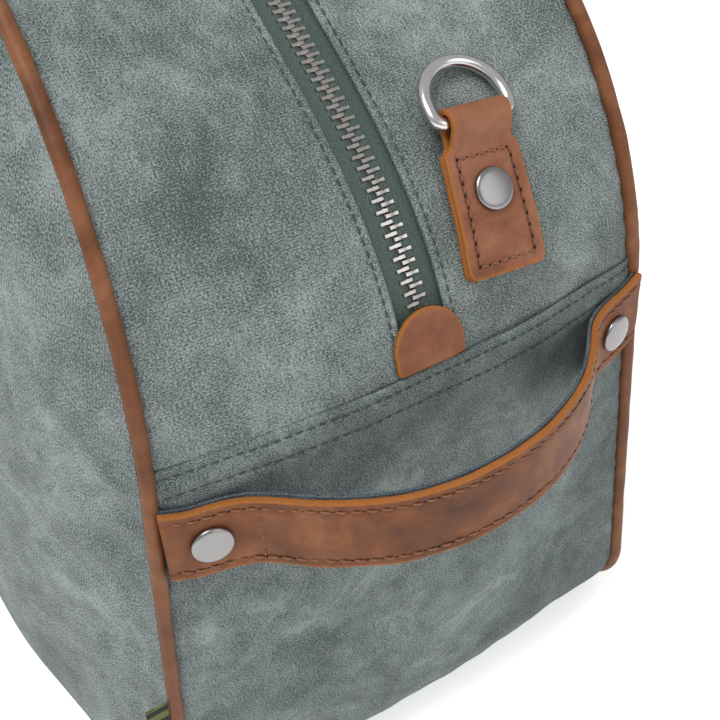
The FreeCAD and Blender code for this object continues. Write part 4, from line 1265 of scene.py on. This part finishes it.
def folded_tab(low, shoulder, halves, neck, wire, round_back=0.0):
    """Grid and marks of a tab folded round a ring, in its own space (x across, y up to the loop, z out).
    Its path goes up below, round the ring's bar on an arc and down again on top; its width tapers, is
    rounded at the foot and steps in to the neck. round_back is the radius of what it lies on."""
    loop = wire + LOOP_CLEARANCE + TAB_LEATHER
    half = TAB_LEATHER / 2
    foot_rows = low + np.array([0, 0.2, 0.6, 1.2, 2.0, 3.0]) * 0.001
    up = np.concatenate([foot_rows, np.linspace(low + 0.005, LOOP_REACH, 34)[:-1]])
    turn = np.linspace(-np.pi / 2, np.pi / 2, 17)
    arc_y = LOOP_REACH + (loop - half) * np.cos(turn)
    arc_z = loop + (loop - half) * np.sin(turn)
    down = up[::-1]
    on_top = 3 * half + (2 * loop - 4 * half) * ease((down - 0.0145) / (LOOP_REACH - 0.0145))
    y = np.concatenate([up, arc_y, down])
    z = np.concatenate([np.full(len(up), half), arc_z, on_top])
    path = np.stack([0 * y, y, z], -1)
    ahead = np.gradient(path, axis=0)
    ahead = ahead / np.linalg.norm(ahead, axis=1, keepdims=True)
    side = np.broadcast_to([1.0, 0.0, 0.0], path.shape)
    out = np.cross(ahead, side)
    share = np.clip((y - low) / (shoulder - low), 0, 1)
    width = halves[0] + (halves[1] - halves[0]) * share
    width = width + (neck - width) * ease((y - shoulder + 0.0012) / 0.0026)
    corner = np.clip(FOOT_CORNER - (y - low), 0, FOOT_CORNER)
    width = width - (FOOT_CORNER - np.sqrt(FOOT_CORNER**2 - corner**2))
    grid, marks = leather_bar(path, side, out, width, half * 0.96, row=0.0042, wear=0.6)
    if round_back:
        below = np.clip(-grid[..., 1], 0, None)
        grid[..., 2] -= below**2 / (2 * round_back)
    foot = np.exp(-(grid[..., 1] - low) / 0.0012)
    marks = np.maximum(marks, 0.9 * foot * (np.abs(grid[..., 2]) > 0))
    return grid, marks


def tab_rectangle(low, high, halves, top, round_back=0.0):
    """Line round the stitched rectangle on a tab's face, and its outward directions."""
    ends = [
        (-halves[0], low), (halves[0], low), (halves[1], high), (-halves[1], high), (-halves[0], low)
    ]
    sides = [np.linspace(a, b, 40)[:-1] for a, b in zip(ends[:-1], ends[1:])]
    flat = np.concatenate(sides + [np.array(ends[-1:])])
    sag = np.clip(-flat[:, 1], 0, None) ** 2 / (2 * round_back) if round_back else 0 * flat[:, 0]
    line = np.column_stack([flat, top - sag])
    return line, np.broadcast_to([0.0, 0.0, 1.0], line.shape)


def d_shape():
    """D-ring in its own plane: a straight bar, two small corners, two legs and a half circle."""
    w, r = RING_HALF, RING_CORNER
    quarter = np.linspace(0, np.pi / 2, 9)
    arc = np.linspace(0, np.pi, 49)
    corner = np.stack([w - r + r * np.sin(quarter), r - r * np.cos(quarter)], -1)
    bow = np.stack([w * np.cos(arc), RING_LEG + w * np.sin(arc)], -1)
    bar = np.stack([np.linspace(-w + r, w - r, 12)[1:-1], np.zeros(10)], -1)
    flat = np.concatenate([bar, corner, bow, (corner * [-1, 1])[::-1]])
    return np.column_stack([flat, 0 * flat[:, 0]])


def d_ring_and_tab(end, end_name):
    """One tab with its thread, holes, rivet and D-ring."""
    place, ways = seat(*TAB_SEAT)
    grid, marks = folded_tab(TAB_LOW, TAB_SHOULDER, TAB_HALF, NECK_HALF, RING_WIRE, 0.16)
    grid = grid + 0.00015 * ripples(grid, 0.014, 301)[..., None] * [0.3, 0.3, 1]
    piece = skin(
        end_name + "_ring_tab",
        seated(grid, place, ways, end),
        tab_leather,
        closed=True,
        capped=True,
        raw=marks,
    )
    sewn(piece, "bag", "leather", end_name + "_d_ring_tab")

    top = 2 * TAB_LEATHER + 0.00002
    line, out = tab_rectangle(-0.0208, 0.0136, (0.0110, 0.0100), top, 0.16)
    line = seated(line, place, ways, end)
    out = (out @ ways) * np.array([end, 1, 1])
    sewn(
        rows_together(end_name + "_tab_stitches", [stitches(line, out, **TAB_STITCH)], brown_thread),
        "bag",
        "leather",
    )
    sewn(
        rows_together(end_name + "_tab_holes", [holes(line, out, TAB_STITCH["pitch"])], needle_hole_painted_shade),
        "bag",
        "leather",
    )

    head_place = seated(np.array([0.0, TAB_RIVET, 2 * TAB_LEATHER - 0.0001]), place, ways, end)
    head = skin(end_name + "_tab_rivet", dome(head_place, ways[2] * np.array([end, 1, 1])), brushed_nickel_painted_dark_reflection,
                closed=True, capped=True)
    sewn(head, "bag", "nickel", end_name + "_d_ring_rivet")

    lie = np.radians(RING_LIE)
    flat = d_shape()
    height = RING_WIRE + LOOP_CLEARANCE + TAB_LEATHER
    path = np.column_stack(
        [flat[:, 0], LOOP_REACH + flat[:, 1] * np.cos(lie), height - flat[:, 1] * np.sin(lie)]
    )
    ring = tube(path, RING_WIRE, (0, np.sin(lie), np.cos(lie)), sides=20, looped=True)
    piece = skin(
        end_name + "_d_ring_steel",
        seated(ring, place, ways, end),
        polished_nickel,
        closed=True,
        looped=True,
    )
    sewn(piece, end_name + "_ring", "nickel", end_name + "_d_ring")


d_ring_and_tab(1, "right")
d_ring_and_tab(-1, "left")


# ---------------------------------------------------------------- the side label
# A tiny folded label of olive and black cloth is caught in the front piped seam near the bottom.
def label_cloth():
    """Fine olive rib with black bands across it."""
    tree, shader, material = blank_material("label_cloth")
    place = add(tree, "TexCoord")
    spot = add(tree, "SeparateXYZ", {0: place.outputs["Object"]})
    rib = math(
        tree,
        "MULTIPLY_ADD",
        math(tree, "SINE", math(tree, "MULTIPLY", spot.outputs[2], 2 * np.pi / 0.0006)),
        0.5,
        0.5,
    )
    band = math(
        tree,
        "GREATER_THAN",
        math(tree, "SINE", math(tree, "MULTIPLY", spot.outputs[2], 2 * np.pi / 0.006)),
        0.1,
    )
    olive = blended(tree, rib, (0.075, 0.085, 0.018), (0.150, 0.165, 0.050))
    tone = blended(tree, band, olive, (0.012, 0.012, 0.010))
    tree.links.new(tone, shader.inputs["Base Color"])
    relief(tree, shader, rib, 0.5, 0.0001)
    shader.inputs["Roughness"].default_value = 0.85
    return material


finish_node("side_label", label_cloth())


# ---------------------------------------------------------------- the carry handles
# Each side has a rolled leather handle. Its ends are folded round two rectangular rings, and each ring
# hangs in a tab of doubled leather that is stitched and riveted to the panel.
HANDLE_SPAN = 0.080
HANDLE_PIVOT = 0.248
PANEL_FACE = 0.0301
HANDLE_WIRE = 0.0020
HANDLE_TAB = {
    "low": -0.041, "shoulder": 0.0165, "halves": (0.0158, 0.0158), "neck": 0.0140, "wire": HANDLE_WIRE
}
HANDLE_RING_HALF = 0.018
HANDLE_RING_DROP = 0.020
HANDLE_RING_CORNER = 0.004
HANDLE_LEAN = np.radians(14.0)
GRIP_RADIUS = 0.0070
GRIP_OUT = 0.0446
GRIP_LOW = 0.108
GRIP_BEND = 0.055
GRIP_TOP = 0.2316
GRIP_FLAT_FROM = 0.203  # above this height it flattens to fold round its ring
GRIP_STEP_FROM = 0.216
GRIP_STEP_IN = 0.0028
GRIP_END_THICK = 0.0042
GRIP_END_WIDE = 0.0108


def on_panel(local, x, side):
    """A handle tab's own points put on the front or back panel, x to the right of its middle."""
    return on_side(
        x + local[..., 0], HANDLE_PIVOT - LOOP_REACH + local[..., 1], PANEL_FACE + local[..., 2], side
    )


def handle_ring_path(x, side):
    """Rounded rectangle that hangs from the tab's loop and leans off the panel."""
    w, r, drop = HANDLE_RING_HALF, HANDLE_RING_CORNER, HANDLE_RING_DROP
    quarter = np.linspace(0, np.pi / 2, 8)
    corner = np.stack([w - r + r * np.sin(quarter), r - r * np.cos(quarter)], -1)
    right = np.concatenate([corner, np.stack([corner[::-1, 0], drop - corner[::-1, 1]], -1)])
    flat = np.concatenate([right, right[::-1] * [-1, 1]])
    loop = HANDLE_WIRE + LOOP_CLEARANCE + TAB_LEATHER
    z = HANDLE_PIVOT - flat[:, 1] * np.cos(HANDLE_LEAN)
    out = PANEL_FACE + loop + flat[:, 1] * np.sin(HANDLE_LEAN)
    return on_side(x + flat[:, 0], z, out, side)


def grip_path():
    """The handle's line in its own plane: down from one ring, round a wide bend, across and up."""
    drop = np.linspace(GRIP_TOP, GRIP_LOW + GRIP_BEND, 40)
    turn = np.linspace(0, np.pi / 2, 26)[1:]
    bend_x = HANDLE_SPAN - GRIP_BEND + GRIP_BEND * np.cos(turn)
    bend_z = GRIP_LOW + GRIP_BEND - GRIP_BEND * np.sin(turn)
    across = np.linspace(HANDLE_SPAN - GRIP_BEND, 0, 14)[1:]
    x = np.concatenate([np.full(40, HANDLE_SPAN), bend_x, across])
    z = np.concatenate([drop, bend_z, np.full(13, GRIP_LOW)])
    return np.concatenate([x, -x[-2::-1]]), np.concatenate([z, z[-2::-1]])


def handle_grip(side, seed):
    """Grid and marks of the grip: round along its length, and flat and wide where each end is folded
    round its ring. A pinched seam runs along the inside of the bend."""
    x, z = grip_path()
    flat_end = ease((z - GRIP_FLAT_FROM) / 0.010)
    out = GRIP_OUT - GRIP_STEP_IN * ease((z - GRIP_STEP_FROM) / 0.010)
    path = on_side(x, z, out, side)
    out_way = on_side(0.0, 0.0, 1.0, side) - on_side(0.0, 0.0, 0.0, side)
    thick = GRIP_RADIUS + (GRIP_END_THICK - GRIP_RADIUS) * flat_end
    tip = np.clip((z - GRIP_TOP + 0.0035) / 0.0035, 0, 0.96)
    thick = thick * np.sqrt(1 - tip**2)
    wide = GRIP_RADIUS + (GRIP_END_WIDE - GRIP_RADIUS) * flat_end
    grid = tube(path, thick, out_way, sides=36, flat=wide, square=2.5)
    away = grid - path[:, None]
    seam = np.zeros(36)
    inward = 9 if side < 0 else 27
    seam[[inward - 1, inward, inward + 1]] = (0.05, 0.16, 0.05)
    grid = grid + away * (seam[None, :, None] * (1 - flat_end)[:, None, None])
    grid = grid + away * (0.018 * ripples(grid, 0.018, seed))[..., None]
    marks = 0.20 + 0.9 * seam[None] / 0.16 * (1 - flat_end)[:, None] + 0.10 * ripples(grid, 0.03, seed)
    marks = np.maximum(marks, (tip[:, None] > 0.2) * 0.9)
    return grid, np.clip(marks, 0, 1)


def grip_seam(side, sign):
    """Line of one stitched row beside the grip's seam, with its outward directions."""
    x, z = grip_path()
    keep = z < 0.196
    x, z = x[keep], z[keep]
    flat = np.stack([x, z], -1)
    ahead = np.gradient(flat, axis=0)
    ahead = ahead / np.linalg.norm(ahead, axis=1, keepdims=True)
    inward = np.stack([ahead[:, 1], -ahead[:, 0]], -1)
    lean = np.radians(28) * sign
    place = flat + inward * GRIP_RADIUS * 1.02 * np.cos(lean)
    line = on_side(place[:, 0], place[:, 1], GRIP_OUT + GRIP_RADIUS * 1.02 * np.sin(lean), side)
    middle = on_side(x, z, GRIP_OUT, side)
    out = line - middle
    return line - out * 0.03, out / np.linalg.norm(out, axis=1, keepdims=True)


def carry_handle(side, half_name, seed):
    """Tabs, rivets, rings and grip of one side. Rings and grip swing together on their own body."""
    body = half_name + "_carry_handle"
    tab_stitches, tab_holes = [], []
    for x, hand in ((-HANDLE_SPAN, "left"), (HANDLE_SPAN, "right")):
        grid, marks = folded_tab(**HANDLE_TAB)
        grid = grid + 0.00012 * ripples(grid, 0.014, seed)[..., None] * [0.3, 0.3, 1]
        piece = skin(
            f"{half_name}_{hand}_handle_tab",
            on_panel(grid, x, side),
            tab_leather,
            closed=True,
            capped=True,
            raw=marks,
        )
        sewn(piece, "bag", "leather", half_name + "_handle_tabs")
        line, _ = tab_rectangle(-0.0368, 0.0136, (0.0116, 0.0116), 2 * TAB_LEATHER + 0.00002)
        line = on_panel(line, x, side)
        out = on_panel(np.array([0.0, 0, 1]), x, side) - on_panel(np.array([0.0, 0, 0]), x, side)
        out = np.broadcast_to(out, line.shape)
        tab_stitches.append(stitches(line, out, **TAB_STITCH))
        tab_holes.append(holes(line, out, TAB_STITCH["pitch"]))
        spot = on_panel(np.array([0.0, -0.012, 2 * TAB_LEATHER - 0.0001]), x, side)
        head = skin(
            f"{half_name}_{hand}_handle_tab_rivet",
            dome(spot, out[0]),
            brushed_nickel_painted_dark_reflection,
            closed=True,
            capped=True,
        )
        sewn(head, "bag", "nickel", half_name + "_handle_tab_rivets")
        path = handle_ring_path(x, side)
        plane = np.cross(path[8] - path[0], path[20] - path[0])
        ring = skin(f"{half_name}_{hand}_handle_ring", tube(path, HANDLE_WIRE, plane, sides=16, looped=True),
                    polished_nickel, closed=True, looped=True)
        sewn(ring, body, "nickel", half_name + "_handle_rings")
    sewn(
        rows_together(half_name + "_handle_tab_stitches", tab_stitches, brown_thread), "bag", "leather"
    )
    sewn(rows_together(half_name + "_handle_tab_holes", tab_holes, needle_hole_painted_shade), "bag", "leather")

    grid, marks = handle_grip(side, seed + 5)
    piece = skin(half_name + "_rolled_grip", grid, handle_leather, closed=True, capped=True, raw=marks)
    sewn(piece, body, "leather", half_name + "_handle_grip")
    rows = [stitches(*grip_seam(side, sign), **LEATHER_STITCH) for sign in (-1, 1)]
    sewn(rows_together(half_name + "_grip_stitches", rows, brown_thread), body, "leather")


carry_handle(-1, "front", 401)
carry_handle(1, "back", 421)
for end_name in ("right", "left"):
    finish_node(end_name + "_zip_pull_strap", handle_leather)
